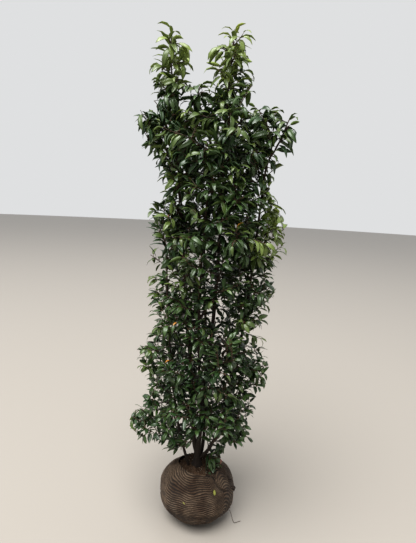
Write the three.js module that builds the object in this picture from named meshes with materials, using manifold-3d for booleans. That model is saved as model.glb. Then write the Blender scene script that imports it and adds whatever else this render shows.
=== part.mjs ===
// A tall laurel shrub grown as a narrow column on several stems, standing on its wrapped root ball.
// Millimetres, +Z up. The origin is the centre of the flat underside of the root ball,
// and the shrub is looked at from the front along +Y, with +X to the right.

import * as THREE from "three";
import { mergeVertices } from "three/addons/utils/BufferGeometryUtils.js";
import Module from "manifold-3d";

const wasm = await Module();
wasm.setup();

// Root ball: a squat bag of soil in a stretched wrap, open round the stems.
const BALL_RADIUS = 184;
const BALL_FOOT_ANGLE = THREE.MathUtils.degToRad(-57);
const BALL_SHOULDER_ANGLE = THREE.MathUtils.degToRad(48);
const BALL_SHOULDER_HEIGHT = 258;
const BALL_SQUARENESS = 0.8;
const RIM_RADIUS = 101;
const RIM_HEIGHT = 281;
const WRAP_THICKNESS = 4;
const BALL_STEPS_ROUND = 28;
const BALL_STEPS_UP = 7;
const SOIL_LEVEL = 262;
const SOIL_SEAT_RADIUS = 74;
const SOIL_SLOPE = 14;

// The ball's unevenness as shares of its radius, and the heights and radii it sets in over.
const BALL_LEAN = { share: 0.014, turn: 0.4 };
const BALL_OVAL = { share: 0.014, turn: 1.1 };
const BALL_LUMPS = { share: 0.009, round: 5, rise: 60 };
const BALL_LOOSE = [4, 110];
const RIM_LIFT = { height: 9, turn: 2.3 };
const RIM_WAVE = { height: 4, turn: 0.6 };
const RIM_RADII = [82, 112];
const RIM_HEIGHTS = [180, 275];
const LIP_DROP = 4;

// What every piece keeps from the one that carries it.
const GAP = 0.3;

// A stem's line starts this far under the soil, and the stem is cut off level on the soil.
const STUB = 30;
const FLARE_RIDGE = 0.22;
const FLARE_TURN = 0.6;
const FLARE_FALL = 26;
const LIMB_TAPER = 0.9;
const FOOT_SPREAD = 1.5;
const LIMB_MARKS = 60;

// Stems and boughs: places in millimetres from the foot up, radius at the foot and at the tip.
const LIMBS = {
  trunk: {
    path: [
      [-8, 0, SOIL_LEVEL - STUB],
      [-1, -2, 420],
      [18, -6, 713],
      [40, -8, 1115],
      [46, -5, 1579],
      [42, 0, 1900],
    ],
    radii: [15.5, 4],
    sides: 9,
    steps: 16,
    flare: 14,
  },
  left_leader: {
    path: [
      [-8, 4, 318],
      [-27, 9, 400],
      [-55, 14, 709],
      [-96, 10, 1107],
      [-137, 4, 1524],
      [-168, 0, 1830],
      [-177, 0, 1900],
    ],
    radii: [12.5, 4],
    sides: 7,
    steps: 10,
  },
  right_stem: {
    path: [
      [4, -2, 296],
      [53, -14, 364],
      [103, -26, 508],
      [150, -38, 760],
      [188, -40, 1120],
      [212, -28, 1450],
      [232, -14, 1720],
      [268, -10, 1808],
    ],
    radii: [9, 3.6],
    sides: 6,
    steps: 10,
  },
  left_stem: {
    path: [
      [-38, -8, SOIL_LEVEL - STUB],
      [-76, -16, 360],
      [-104, -24, 470],
      [-146, -34, 760],
      [-178, -38, 1080],
      [-192, -30, 1330],
    ],
    radii: [7.5, 3.6],
    sides: 6,
    steps: 8,
  },
  back_stem: {
    path: [
      [8, 38, SOIL_LEVEL - STUB],
      [24, 78, 420],
      [14, 122, 800],
      [-18, 146, 1200],
      [-26, 138, 1500],
      [-14, 112, 1690],
    ],
    radii: [9.5, 3.8],
    sides: 6,
    steps: 8,
  },
  front_bough: {
    path: [
      [6, -4, 500],
      [-4, -62, 640],
      [-24, -112, 930],
      [-30, -132, 1260],
      [-18, -118, 1590],
    ],
    radii: [8, 3.6],
    sides: 6,
    steps: 8,
  },
  left_upper_bough: {
    path: [
      [-142, 4, 1560],
      [-166, -8, 1672],
      [-200, -14, 1756],
      [-236, -14, 1824],
    ],
    radii: [5, 3.2],
    sides: 5,
    steps: 4,
  },
  middle_bough: {
    path: [
      [44, -4, 1600],
      [12, -22, 1730],
      [-30, -26, 1850],
      [-52, -24, 1912],
    ],
    radii: [5.5, 3.2],
    sides: 5,
    steps: 4,
  },
  right_upper_bough: {
    path: [
      [46, -4, 1500],
      [88, 18, 1610],
      [146, 26, 1740],
      [188, 16, 1812],
    ],
    radii: [5.5, 3.2],
    sides: 5,
    steps: 4,
  },
};

// The crown's reach from its axis at each height: left, right, front and back.
const CROWN_OUTLINE = [
  [225, 60, 110, 70, 70],
  [300, 130, 150, 120, 130],
  [345, 215, 190, 165, 180],
  [415, 285, 268, 215, 230],
  [490, 360, 284, 262, 262],
  [565, 326, 258, 286, 284],
  [700, 280, 284, 270, 300],
  [810, 312, 334, 292, 296],
  [960, 284, 294, 306, 274],
  [1140, 264, 314, 276, 292],
  [1300, 266, 332, 288, 304],
  [1400, 294, 346, 300, 284],
  [1530, 264, 340, 274, 270],
  [1630, 250, 250, 262, 282],
  [1730, 262, 284, 246, 256],
  [1860, 300, 330, 226, 222],
  [1960, 316, 340, 170, 176],
];

// Rows of foliage up the column: where each row's stems leave their limbs, its middle, and their tops.
const ROWS = [
  { leave: 372, height: 450, end: 560 },
  { leave: 632, height: 770, end: 880 },
  { leave: 958, height: 1095, end: 1205 },
  { leave: 1284, height: 1420, end: 1535 },
  { leave: 1604, height: 1735, end: 1840 },
];
const ROW_STEM_REACH = 0.6;
const ROW_STEM_MIDDLE = { share: 0.6, drop: 30 };
const ROW_TWIGS = 5;
const ROW_LEAF_SPACING = 28;
const ROW_CEILING = 1975;
const ROW_TWIST = 0.2;
const SITE_REACH = 150;

// The four sides of the column: its direction, how far its rows are lifted, how far round from the limb
// their stems lean, the lowest leaf, and the limb that carries each row.
const SIDES = {
  left: {
    turn: Math.PI,
    lift: -20,
    lean: -0.45,
    skirt: 308,
    limbs: ["left_stem", "left_stem", "left_stem", "left_leader", "left_leader"],
  },
  front: {
    turn: -Math.PI / 2,
    lift: 95,
    lean: 0.5,
    skirt: 424,
    limbs: ["trunk", "front_bough", "front_bough", "front_bough", "middle_bough"],
  },
  right: {
    turn: 0,
    lift: 15,
    lean: 0.5,
    skirt: 226,
    limbs: ["right_stem", "right_stem", "right_stem", "right_stem", "right_stem"],
  },
  back: {
    turn: Math.PI / 2,
    lift: 85,
    lean: -0.5,
    skirt: 322,
    limbs: ["back_stem", "back_stem", "back_stem", "back_stem", "back_stem"],
  },
};

// Shoots above the column: each grows on from a limb's tip along its own line to its top leaf.
const TOPS = {
  left_leader_top: {
    limb: "left_leader",
    path: [
      [-188, 0, 2010],
      [-202, 2, 2120],
      [-208, 3, 2210],
      [-207, 3, 2272],
    ],
    site: [-196, 2, 2100],
    twigs: 9,
    twigLength: 62,
    reach: 112,
    ceiling: 2316,
  },
  right_leader_top: {
    limb: "trunk",
    path: [
      [45, 2, 2020],
      [52, 4, 2130],
      [56, 4, 2225],
      [55, 4, 2286],
    ],
    site: [50, 3, 2100],
    twigs: 12,
    twigLength: 70,
    reach: 124,
    ceiling: 2331,
  },
  middle_top: {
    limb: "middle_bough",
    path: [
      [-68, -22, 1960],
      [-84, -20, 2008],
      [-72, -20, 2060],
    ],
    site: [-76, -22, 2010],
    twigs: 5,
    twigLength: 55,
    reach: 96,
    ceiling: 2088,
  },
  left_shoot: {
    limb: "left_upper_bough",
    path: [
      [-256, -14, 1862],
      [-272, -14, 1892],
      [-281, -14, 1926],
    ],
    site: [-268, -14, 1900],
    twigs: 4,
    twigLength: 42,
    reach: 66,
    ceiling: 1968,
  },
  right_inner_shoot: {
    limb: "right_upper_bough",
    path: [
      [204, 12, 1862],
      [212, 10, 1930],
      [232, 8, 1972],
    ],
    site: [206, 16, 1912],
    twigs: 5,
    twigLength: 44,
    reach: 72,
    ceiling: 2008,
  },
  right_outer_shoot: {
    limb: "right_stem",
    path: [
      [290, -10, 1856],
      [308, -12, 1910],
      [320, -12, 1942],
    ],
    site: [300, -14, 1886],
    twigs: 5,
    twigLength: 42,
    reach: 62,
    ceiling: 1972,
  },
};
const TOP_FLOOR = 1500;
const TIP_STRAIGHT = 16;
const TOP_LEAF_SIZE = 0.66;
const TOP_LEAF_SPACING = 27;

// Twigs and leaves. Leaves are larger than life, because each stands for several.
const STEM_RADII = [5.4, 3.4];
const STEM_STEPS = 4;
const TWIG_RADII = [3.4, 2.4];
const TWIG_FOOT = 5;
const TWIG_CLEARANCE = 0.8;
const TWIG_TRIES = 5;
const TWIG_LONGEST = 185;
const TWIG_SHORTEST = 26;
const TWIG_RISE = [0.8, 0.06];
const TWIG_RISE_VARIES = 0.18;
const TWIG_TURN_VARIES = 0.7;
const TWIG_PLACES = [0.16, 0.93];
const TWIG_MARGIN = 8;
const ROOM_STEP = 8;
const FREE_STEPS = 3;
const LEAF_LENGTH = 152;
const LEAF_WIDTH = 66;
const LEAF_THICKNESS = 2.6;
const LEAF_MIDDLE = 0.46;
const LEAF_FOLD = 5;
const LEAF_DROOP = 0.2;
const LEAF_SINK = 0.5;
const LEAF_TRIES = 10;
const SMALL_LEAF = 0.76;
const LEAF_ROLL = 0.8;
const LEAF_HANG = [-0.15, 0.8];
const LEAF_SIZES = [0.84, 1.1];
const LEAF_ONWARD = 0.6;
const LEAF_ASIDE = 0.8;
const LEAF_MARGIN = 0.5;
const TWIG_LEAVES_FROM = 0.36;
const ROW_LEAVES_FROM = 0.45;
const TOP_LEAVES_FROM = 0.1;
const LAST_LEAF = 0.94;
const MASS_MARKS = 12;
const FIRST_SEED = 104;
const GOLDEN_TURN = Math.PI * (3 - Math.sqrt(5));
const UP = new THREE.Vector3(0, 0, 1);

const clamp = THREE.MathUtils.clamp;
const lerp = THREE.MathUtils.lerp;
const smoothstep = THREE.MathUtils.smoothstep;

// A repeatable source of numbers from 0 to 1.
function seededRandom(seed) {
  let state = seed >>> 0;
  return () => {
    state = (state + 0x6d2b79f5) >>> 0;
    let mixed = Math.imul(state ^ (state >>> 15), state | 1);
    mixed ^= mixed + Math.imul(mixed ^ (mixed >>> 7), mixed | 61);
    return ((mixed ^ (mixed >>> 14)) >>> 0) / 4294967296;
  };
}

function curveThrough(points) {
  return new THREE.CatmullRomCurve3(points, false, "catmullrom", 0.5);
}

function vectors(points) {
  return points.map((point) => new THREE.Vector3(...point));
}

// A closed geometry as a solid that can be joined and cut.
function solidOf(geometry) {
  const bare = geometry.clone();
  bare.deleteAttribute("normal");
  bare.deleteAttribute("uv");
  const merged = mergeVertices(bare, 1e-4);
  return new wasm.Manifold(
    new wasm.Mesh({
      numProp: 3,
      vertProperties: merged.attributes.position.array,
      triVerts: new Uint32Array(merged.index.array),
    }),
  );
}

function geometryOf(solid) {
  const mesh = solid.getMesh();
  const geometry = new THREE.BufferGeometry();
  geometry.setAttribute("position", new THREE.BufferAttribute(mesh.vertProperties, 3));
  geometry.setIndex(new THREE.BufferAttribute(mesh.triVerts, 1));
  return geometry;
}

// The largest body of a solid: scraps cut loose are dropped and sealed hollows are filled.
function largestBody(solid) {
  const bodies = solid.decompose();
  bodies.sort((a, b) => b.volume() - a.volume());
  return bodies[0];
}

function bend(geometry, place) {
  const position = geometry.attributes.position;
  const point = new THREE.Vector3();
  for (let i = 0; i < position.count; i += 1) {
    point.fromBufferAttribute(position, i);
    place(point);
    position.setXYZ(i, point.x, point.y, point.z);
  }
  return geometry;
}

// A round limb along a curve. radiusAt(share, turn) gives its radius; spread closes up the first steps.
function limbGeometry(curve, radiusAt, sides, steps, spread = 1) {
  const geometry = new THREE.CylinderGeometry(1, 1, 1, sides, steps);
  return bend(geometry, (point) => {
    const share = clamp(point.y + 0.5, 0, 1) ** spread;
    const turn = Math.atan2(point.z, point.x);
    const radius = Math.hypot(point.x, point.z) > 0.5 ? radiusAt(share, turn) : 0;
    const tangent = curve.getTangent(share);
    const side = new THREE.Vector3(1, 0, 0).addScaledVector(tangent, -tangent.x).normalize();
    const other = new THREE.Vector3().crossVectors(side, tangent);
    point.copy(curve.getPoint(share));
    point.addScaledVector(side, radius * Math.cos(turn));
    point.addScaledVector(other, radius * Math.sin(turn));
  });
}

class Limb {
  constructor(name, { path, radii, sides, steps, flare = 0 }) {
    this.name = name;
    this.curve = curveThrough(vectors(path));
    this.radii = radii;
    this.sides = sides;
    this.steps = steps;
    this.flare = flare;
    this.marks = Array.from({ length: LIMB_MARKS + 1 }, (_, i) => ({
      point: this.curve.getPoint(i / LIMB_MARKS),
      radius: this.radiusAt(i / LIMB_MARKS, 0),
    }));
  }

  // The radius tapers to the tip, and a flare stands out in three root ridges at the foot.
  radiusAt(share, turn) {
    const height = Math.max(this.curve.getPoint(share).z - SOIL_LEVEL, 0);
    const ridge = 1 + FLARE_RIDGE * Math.cos(3 * turn + FLARE_TURN);
    const foot = this.flare * ridge * Math.exp(-height / FLARE_FALL);
    return lerp(this.radii[0], this.radii[1], share ** LIMB_TAPER) + foot;
  }

  solid(allowance = 0) {
    const grow = allowance / Math.cos(Math.PI / this.sides);
    const radiusAt = (share, turn) => this.radiusAt(share, turn) + grow;
    return solidOf(limbGeometry(this.curve, radiusAt, this.sides, this.steps, FOOT_SPREAD));
  }

  // The point where the limb's middle line passes a height.
  pointAtHeight(height) {
    const next = this.marks.findIndex((mark) => mark.point.z >= height);
    const from = this.marks[Math.max(next - 1, 0)].point;
    const to = this.marks[Math.max(next, 1)].point;
    const share = clamp((height - from.z) / (to.z - from.z), 0, 1);
    return new THREE.Vector3().lerpVectors(from, to, share);
  }

  clearance(point) {
    return Math.min(...this.marks.map((mark) => mark.point.distanceTo(point) - mark.radius));
  }
}

function crownReach(height) {
  const last = CROWN_OUTLINE.length - 1;
  const above = CROWN_OUTLINE.findIndex((row) => row[0] > height);
  if (above <= 0) return (above === 0 ? CROWN_OUTLINE[0] : CROWN_OUTLINE[last]).slice(1);
  const low = CROWN_OUTLINE[above - 1];
  const high = CROWN_OUTLINE[above];
  const share = (height - low[0]) / (high[0] - low[0]);
  return low.slice(1).map((reach, i) => lerp(reach, high[i + 1], share));
}

// How far out a point is: 1 on the crown's outline.
function outwardShare(point) {
  const [left, right, front, back] = crownReach(point.z);
  const acrossReach = point.x < 0 ? left : right;
  const depthReach = point.y < 0 ? front : back;
  return Math.hypot(point.x / acrossReach, point.y / depthReach);
}

function stretchCrown(turn, height, share) {
  const [left, right, front, back] = crownReach(height);
  const across = Math.cos(turn) < 0 ? left : right;
  const depth = Math.sin(turn) < 0 ? front : back;
  return new THREE.Vector3(across * Math.cos(turn) * share, depth * Math.sin(turn) * share, height);
}

const limbs = Object.fromEntries(
  Object.entries(LIMBS).map(([name, sizes]) => [name, new Limb(name, sizes)]),
);

// A row's mass leaves its limb low and reaches out and up towards the outline of its own side.
function rowMasses() {
  return ROWS.flatMap((row, rowIndex) =>
    Object.entries(SIDES).map(([side, { turn, lift, lean, skirt, limbs: carriers }]) => {
      const twist = rowIndex % 2 ? ROW_TWIST : -ROW_TWIST;
      const foot = limbs[carriers[rowIndex]].pointAtHeight(row.leave + lift);
      const end = stretchCrown(turn + twist + lean, row.end + lift, ROW_STEM_REACH);
      const middle = new THREE.Vector3().lerpVectors(foot, end, ROW_STEM_MIDDLE.share);
      middle.z = row.height + lift - ROW_STEM_MIDDLE.drop;
      return {
        name: `foliage_${rowIndex + 1}_${side}`,
        limb: limbs[carriers[rowIndex]],
        path: [foot, middle, end],
        site: new THREE.Vector3(
          SITE_REACH * Math.cos(turn + twist),
          SITE_REACH * Math.sin(turn + twist),
          row.height + lift,
        ),
        twigs: ROW_TWIGS,
        twigLength: TWIG_LONGEST,
        leafSize: 1,
        leafSpacing: ROW_LEAF_SPACING,
        floor: rowIndex === 0 ? skirt : 0,
        ceiling: ROW_CEILING,
        atTip: false,
      };
    }),
  );
}

function topMasses() {
  return Object.entries(TOPS).map(([name, top]) => {
    const limb = limbs[top.limb];
    const tangent = limb.curve.getTangent(1);
    const foot = limb.curve.getPoint(1).addScaledVector(tangent, GAP);
    const onward = foot.clone().addScaledVector(tangent, TIP_STRAIGHT);
    return {
      name,
      limb,
      path: [foot, onward, ...vectors(top.path)],
      site: new THREE.Vector3(...top.site),
      twigs: top.twigs,
      twigLength: top.twigLength,
      leafSize: TOP_LEAF_SIZE,
      leafSpacing: TOP_LEAF_SPACING,
      reach: top.reach,
      floor: TOP_FLOOR,
      ceiling: top.ceiling,
      atTip: true,
    };
  });
}

const limbPieces = Object.values(limbs).map((limb) => boxed(limb.solid(TWIG_CLEARANCE)));

const masses = [...rowMasses(), ...topMasses()];
masses.forEach((mass, i) => {
  mass.seed = FIRST_SEED + i;
  mass.curve = curveThrough(mass.path);
  mass.marks = Array.from({ length: MASS_MARKS + 1 }, (_, k) => mass.curve.getPoint(k / MASS_MARKS));
  mass.stemRoom = boxed(stemSolid(mass.curve, TWIG_CLEARANCE));
});
masses.forEach((mass) => {
  const otherStems = masses.filter((other) => other !== mass).map((other) => other.stemRoom);
  mass.obstacles = [...limbPieces, ...otherStems];
});

// Whether a point keeps to a mass's own space: nearer its site than any other, and within the crown.
function inSpace(mass, point, margin) {
  if (point.z < mass.floor + margin || point.z > mass.ceiling - margin) return false;
  if (mass.reach) {
    const off = Math.min(...mass.marks.map((mark) => mark.distanceTo(point)));
    if (off > mass.reach - margin) return false;
  } else if (outwardShare(point) > 1) {
    return false;
  }
  return masses.every((other) => {
    if (other === mass) return true;
    const between = other.site.distanceTo(mass.site);
    const excess = other.site.distanceToSquared(point) - mass.site.distanceToSquared(point);
    return excess / (2 * between) > margin + GAP / 2;
  });
}

function clearOfLimbs(point, margin) {
  return Object.values(limbs).every((limb) => limb.clearance(point) > margin);
}

function headingOf(turn, rise) {
  return new THREE.Vector3(
    Math.cos(turn) * Math.cos(rise),
    Math.sin(turn) * Math.cos(rise),
    Math.sin(rise),
  );
}

// How long a twig can grow before it would leave its mass's space or touch a limb.
function roomAlong(mass, start, heading) {
  let length = 0;
  while (length < mass.twigLength) {
    const point = start.clone().addScaledVector(heading, length + ROOM_STEP);
    if (!inSpace(mass, point, TWIG_MARGIN)) break;
    if (length > FREE_STEPS * ROOM_STEP && !clearOfLimbs(point, TWIG_MARGIN)) break;
    length += ROOM_STEP;
  }
  return length;
}

// A pointed blade of eight faces, folded a little along its middle and arched over to its tip.
function leafPoints(root, heading, roll, size) {
  const length = LEAF_LENGTH * size;
  const width = LEAF_WIDTH * size;
  const across = new THREE.Vector3().crossVectors(heading, UP).normalize();
  across.applyAxisAngle(heading, roll);
  const face = new THREE.Vector3().crossVectors(across, heading).normalize();
  const middle = root.clone().addScaledVector(heading, length * LEAF_MIDDLE);
  const tip = root.clone().addScaledVector(heading, length);
  tip.addScaledVector(UP, -LEAF_DROOP * length);
  const edge = middle.clone().addScaledVector(face, LEAF_FOLD);
  return {
    root: root.clone().addScaledVector(heading, -LEAF_SINK),
    tip,
    left: edge.clone().addScaledVector(across, -width / 2),
    right: edge.clone().addScaledVector(across, width / 2),
    over: middle.clone().addScaledVector(face, LEAF_THICKNESS / 2),
    under: middle.clone().addScaledVector(face, -LEAF_THICKNESS / 2),
  };
}

function leafSolid(points) {
  const corners = {
    x: [points.root, points.tip],
    y: [points.right, points.left],
    z: [points.under, points.over],
  };
  return solidOf(
    bend(new THREE.OctahedronGeometry(1), (point) => {
      const axis = ["x", "y", "z"].find((name) => Math.abs(point[name]) > 0.5);
      point.copy(corners[axis][point[axis] > 0 ? 1 : 0]);
    }),
  );
}

// A solid kept with its box, so that pieces far apart are told from each other at once.
function boxed(solid) {
  const { min, max } = solid.boundingBox();
  return { solid, box: new THREE.Box3(new THREE.Vector3(...min), new THREE.Vector3(...max)) };
}

function touches(piece, others) {
  return others.some(
    (other) => piece.box.intersectsBox(other.box) && !piece.solid.intersect(other.solid).isEmpty(),
  );
}

function leafFits(mass, points) {
  const corners = [points.tip, points.left, points.right, points.over, points.under];
  return corners.every((corner) => inSpace(mass, corner, LEAF_MARGIN));
}

// A leaf leaves its twig sideways and hangs a little; each try turns it further round the twig.
function placeLeaf(mass, random, root, along, turn, others) {
  const roll = lerp(-LEAF_ROLL, LEAF_ROLL, random());
  const hang = lerp(LEAF_HANG[0], LEAF_HANG[1], random());
  const size = mass.leafSize * lerp(LEAF_SIZES[0], LEAF_SIZES[1], random());
  const sideways = new THREE.Vector3().crossVectors(along, UP);
  if (sideways.length() < 0.2) sideways.set(1, 0, 0).cross(along);
  sideways.normalize();
  for (let i = 0; i < LEAF_TRIES; i += 1) {
    const side = sideways.clone().applyAxisAngle(along, turn + i * GOLDEN_TURN);
    const heading = along.clone().multiplyScalar(LEAF_ONWARD).addScaledVector(side, LEAF_ASIDE);
    heading.z -= hang;
    heading.normalize();
    const points = leafPoints(root, heading, roll, size * (i < LEAF_TRIES / 2 ? 1 : SMALL_LEAF));
    if (!leafFits(mass, points)) continue;
    const leaf = boxed(leafSolid(points));
    if (!touches(leaf, others)) return leaf;
  }
  return null;
}

// A mass's own three-sided stem.
function stemSolid(curve, allowance = 0) {
  const radiusAt = (share) => lerp(STEM_RADII[0], STEM_RADII[1], share) + 2 * allowance;
  return solidOf(limbGeometry(curve, radiusAt, 3, STEM_STEPS));
}

// A straight three-sided twig: its foot comes to a point on the stem's middle line, and its end is blunt.
function twigSolid(line) {
  const length = line.getLength();
  const heading = line.getTangent(0);
  const side = new THREE.Vector3().crossVectors(heading, UP).normalize();
  const other = new THREE.Vector3().crossVectors(side, heading);
  return solidOf(
    bend(new THREE.CylinderGeometry(TWIG_RADII[1], TWIG_RADII[0], 1, 3, 1), (point) => {
      const atFoot = point.y < 0;
      const onLine = Math.hypot(point.x, point.z) < 0.1;
      const along = atFoot ? (onLine ? 0 : TWIG_FOOT) : length;
      const place = line.v1.clone().addScaledVector(heading, along);
      place.addScaledVector(side, point.x).addScaledVector(other, point.z);
      point.copy(place);
    }),
  );
}

// A twig leaves the stem one way and then, where it has no room, another.
function placeTwig(mass, start, turn, rise) {
  for (let i = 0; i < TWIG_TRIES; i += 1) {
    const heading = headingOf(turn + i * GOLDEN_TURN, rise);
    const length = roomAlong(mass, start, heading);
    if (length < TWIG_SHORTEST) continue;
    const curve = new THREE.LineCurve3(start, start.clone().addScaledVector(heading, length));
    const piece = boxed(twigSolid(curve));
    if (!touches(piece, mass.obstacles)) return { piece, curve, from: TWIG_LEAVES_FROM, length };
  }
  return null;
}

// One mass of foliage: twigs leave its stem turn by turn, and leaves stand along stem and twigs.
function growMass(mass) {
  const random = seededRandom(mass.seed);
  const stem = boxed(stemSolid(mass.curve));
  const from = mass.atTip ? TOP_LEAVES_FROM : ROW_LEAVES_FROM;
  const shoots = [{ piece: stem, curve: mass.curve, from, length: mass.curve.getLength() }];
  for (let i = 0; i < mass.twigs; i += 1) {
    const share = lerp(TWIG_PLACES[0], TWIG_PLACES[1], (i + 0.5) / mass.twigs);
    const start = mass.curve.getPoint(share);
    const turn = i * GOLDEN_TURN + TWIG_TURN_VARIES * random();
    const varied = lerp(-TWIG_RISE_VARIES, TWIG_RISE_VARIES, random());
    const rise = lerp(TWIG_RISE[0], TWIG_RISE[1], share) + varied;
    const twig = placeTwig(mass, start, turn, rise);
    if (twig) shoots.push(twig);
  }
  const leaves = [];
  shoots.forEach((shoot) => {
    const { curve, length } = shoot;
    const twigs = shoots.filter((other) => other !== shoot).map((other) => other.piece);
    const others = [...mass.obstacles, ...twigs];
    const count = Math.max(2, Math.round((length * (1 - shoot.from)) / mass.leafSpacing) + 1);
    for (let k = 0; k < count; k += 1) {
      const share = lerp(shoot.from, LAST_LEAF, k / (count - 1));
      const along = curve.getTangent(share);
      const root = curve.getPoint(share);
      const leaf = placeLeaf(mass, random, root, along, k * GOLDEN_TURN, [...others, ...leaves]);
      if (leaf) leaves.push(leaf);
    }
  });
  const pieces = [...shoots.map((shoot) => shoot.piece), ...leaves];
  let joined = pieces.map((piece) => piece.solid).reduce((sum, solid) => sum.add(solid));
  if (!mass.atTip) joined = joined.subtract(mass.limb.solid(GAP));
  return largestBody(joined);
}

// The bag's outline from the edge of its flat underside up to the lip of its opening.
function bagProfile() {
  const points = [];
  const rise = BALL_SHOULDER_HEIGHT / (Math.sin(BALL_SHOULDER_ANGLE) - Math.sin(BALL_FOOT_ANGLE));
  for (let i = 0; i <= BALL_STEPS_UP; i += 1) {
    const angle = lerp(BALL_FOOT_ANGLE, BALL_SHOULDER_ANGLE, i / BALL_STEPS_UP);
    const radius = BALL_RADIUS * Math.cos(angle) ** BALL_SQUARENESS;
    points.push(new THREE.Vector2(radius, rise * (Math.sin(angle) - Math.sin(BALL_FOOT_ANGLE))));
  }
  points.push(new THREE.Vector2((RIM_RADIUS + points.at(-1).x) / 2, RIM_HEIGHT - LIP_DROP));
  points.push(new THREE.Vector2(RIM_RADIUS, RIM_HEIGHT));
  return points;
}

// The same outline moved inwards, square to itself.
function insetProfile(profile, inset) {
  return profile.map((point, i) => {
    const before = profile[Math.max(i - 1, 0)];
    const after = profile[Math.min(i + 1, profile.length - 1)];
    const along = after.clone().sub(before).normalize();
    return new THREE.Vector2(point.x - along.y * inset, Math.max(point.y + along.x * inset, inset));
  });
}

// The ball's own unevenness: it leans and bulges above its flat foot, and its rim stands up at the left.
function settle(point) {
  const turn = Math.atan2(point.y, point.x);
  const radius = Math.hypot(point.x, point.y);
  const loose = smoothstep(point.z, ...BALL_LOOSE);
  const lean = BALL_LEAN.share * Math.cos(turn - BALL_LEAN.turn);
  const oval = BALL_OVAL.share * Math.cos(2 * turn + BALL_OVAL.turn);
  const lumps = BALL_LUMPS.share * Math.cos(BALL_LUMPS.round * turn + point.z / BALL_LUMPS.rise);
  const bulge = lean + oval + lumps;
  const tilt = RIM_LIFT.height * Math.cos(turn - RIM_LIFT.turn);
  const wave = RIM_WAVE.height * Math.cos(3 * turn + RIM_WAVE.turn);
  const raised = smoothstep(radius, ...RIM_RADII) * smoothstep(point.z, ...RIM_HEIGHTS);
  point.x *= 1 + loose * bulge;
  point.y *= 1 + loose * bulge;
  point.z += (tilt + wave) * raised;
}

function turned(profile) {
  const geometry = new THREE.LatheGeometry(profile, BALL_STEPS_ROUND);
  geometry.rotateX(Math.PI / 2);
  return solidOf(bend(geometry, settle));
}

function rootBallWrap() {
  const outside = bagProfile();
  const inside = insetProfile(outside, WRAP_THICKNESS).reverse();
  return turned([new THREE.Vector2(0, 0), ...outside, ...inside, new THREE.Vector2(0, WRAP_THICKNESS)]);
}

// Soil fills the wrap and makes a level seat for the stems, with crumbs sloping off it all round.
function rootBallSoil() {
  const inset = WRAP_THICKNESS + 3 * GAP;
  const wall = insetProfile(bagProfile(), inset);
  const edge = SOIL_LEVEL - SOIL_SLOPE;
  const over = wall.findIndex((point) => point.y > edge);
  const share = (edge - wall[over - 1].y) / (wall[over].y - wall[over - 1].y);
  return turned([
    new THREE.Vector2(0, inset),
    ...wall.slice(0, over),
    wall[over - 1].clone().lerp(wall[over], share),
    new THREE.Vector2(SOIL_SEAT_RADIUS, SOIL_LEVEL),
    new THREE.Vector2(0, SOIL_LEVEL),
  ]);
}

// Everything up to just above the soil, which cuts the stems off level.
function groundBlock() {
  const block = new THREE.BoxGeometry(2 * BALL_RADIUS, 2 * BALL_RADIUS, SOIL_LEVEL);
  return solidOf(block.translate(0, 0, SOIL_LEVEL / 2 + GAP));
}

// Each limb is cut clear of the ones made before it, so a fork sits on its parent like a saddle.
function limbSolids() {
  const made = [];
  const ground = groundBlock();
  return Object.values(limbs).map((limb) => {
    let solid = limb.solid().subtract(ground);
    made.forEach((earlier) => {
      solid = solid.subtract(earlier.solid(GAP));
    });
    made.push(limb);
    return [limb.name, largestBody(solid)];
  });
}

const finishes = {
  wrap: new THREE.MeshStandardMaterial({ color: 0x6b5a4b, roughness: 0.92, metalness: 0 }),
  soil: new THREE.MeshStandardMaterial({ color: 0x2c221b, roughness: 1, metalness: 0 }),
  bark: new THREE.MeshStandardMaterial({ color: 0x3d342c, roughness: 0.88, metalness: 0 }),
  leaf: new THREE.MeshStandardMaterial({ color: 0x2b4a26, roughness: 0.42, metalness: 0 }),
  youngLeaf: new THREE.MeshStandardMaterial({ color: 0x5d8a34, roughness: 0.45, metalness: 0 }),
};

const laurel = new THREE.Group();

function addMesh(name, solid, finish) {
  const mesh = new THREE.Mesh(geometryOf(solid), finish);
  mesh.name = name;
  laurel.add(mesh);
}

addMesh("root_ball_wrap", rootBallWrap(), finishes.wrap);
addMesh("root_ball_soil", rootBallSoil(), finishes.soil);
limbSolids().forEach(([name, solid]) => addMesh(name, solid, finishes.bark));
masses.forEach((mass) => {
  const finish = mass.atTip ? finishes.youngLeaf : finishes.leaf;
  addMesh(mass.name, growMass(mass), finish);
});

export default laurel;
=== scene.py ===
"""Looks for a columnar laurel shrub on its wrapped root ball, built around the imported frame.

The frame is in metres with +Z up. The crown and the ball are worked out in millimetres, as in the part's
source, and every mesh is made in metres.
"""

import functools
import math
from dataclasses import dataclass

import bmesh
import bpy
import numpy as np
from bpy.props import FloatProperty, FloatVectorProperty, IntProperty, PointerProperty
from mathutils import Matrix, Vector, noise


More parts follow.
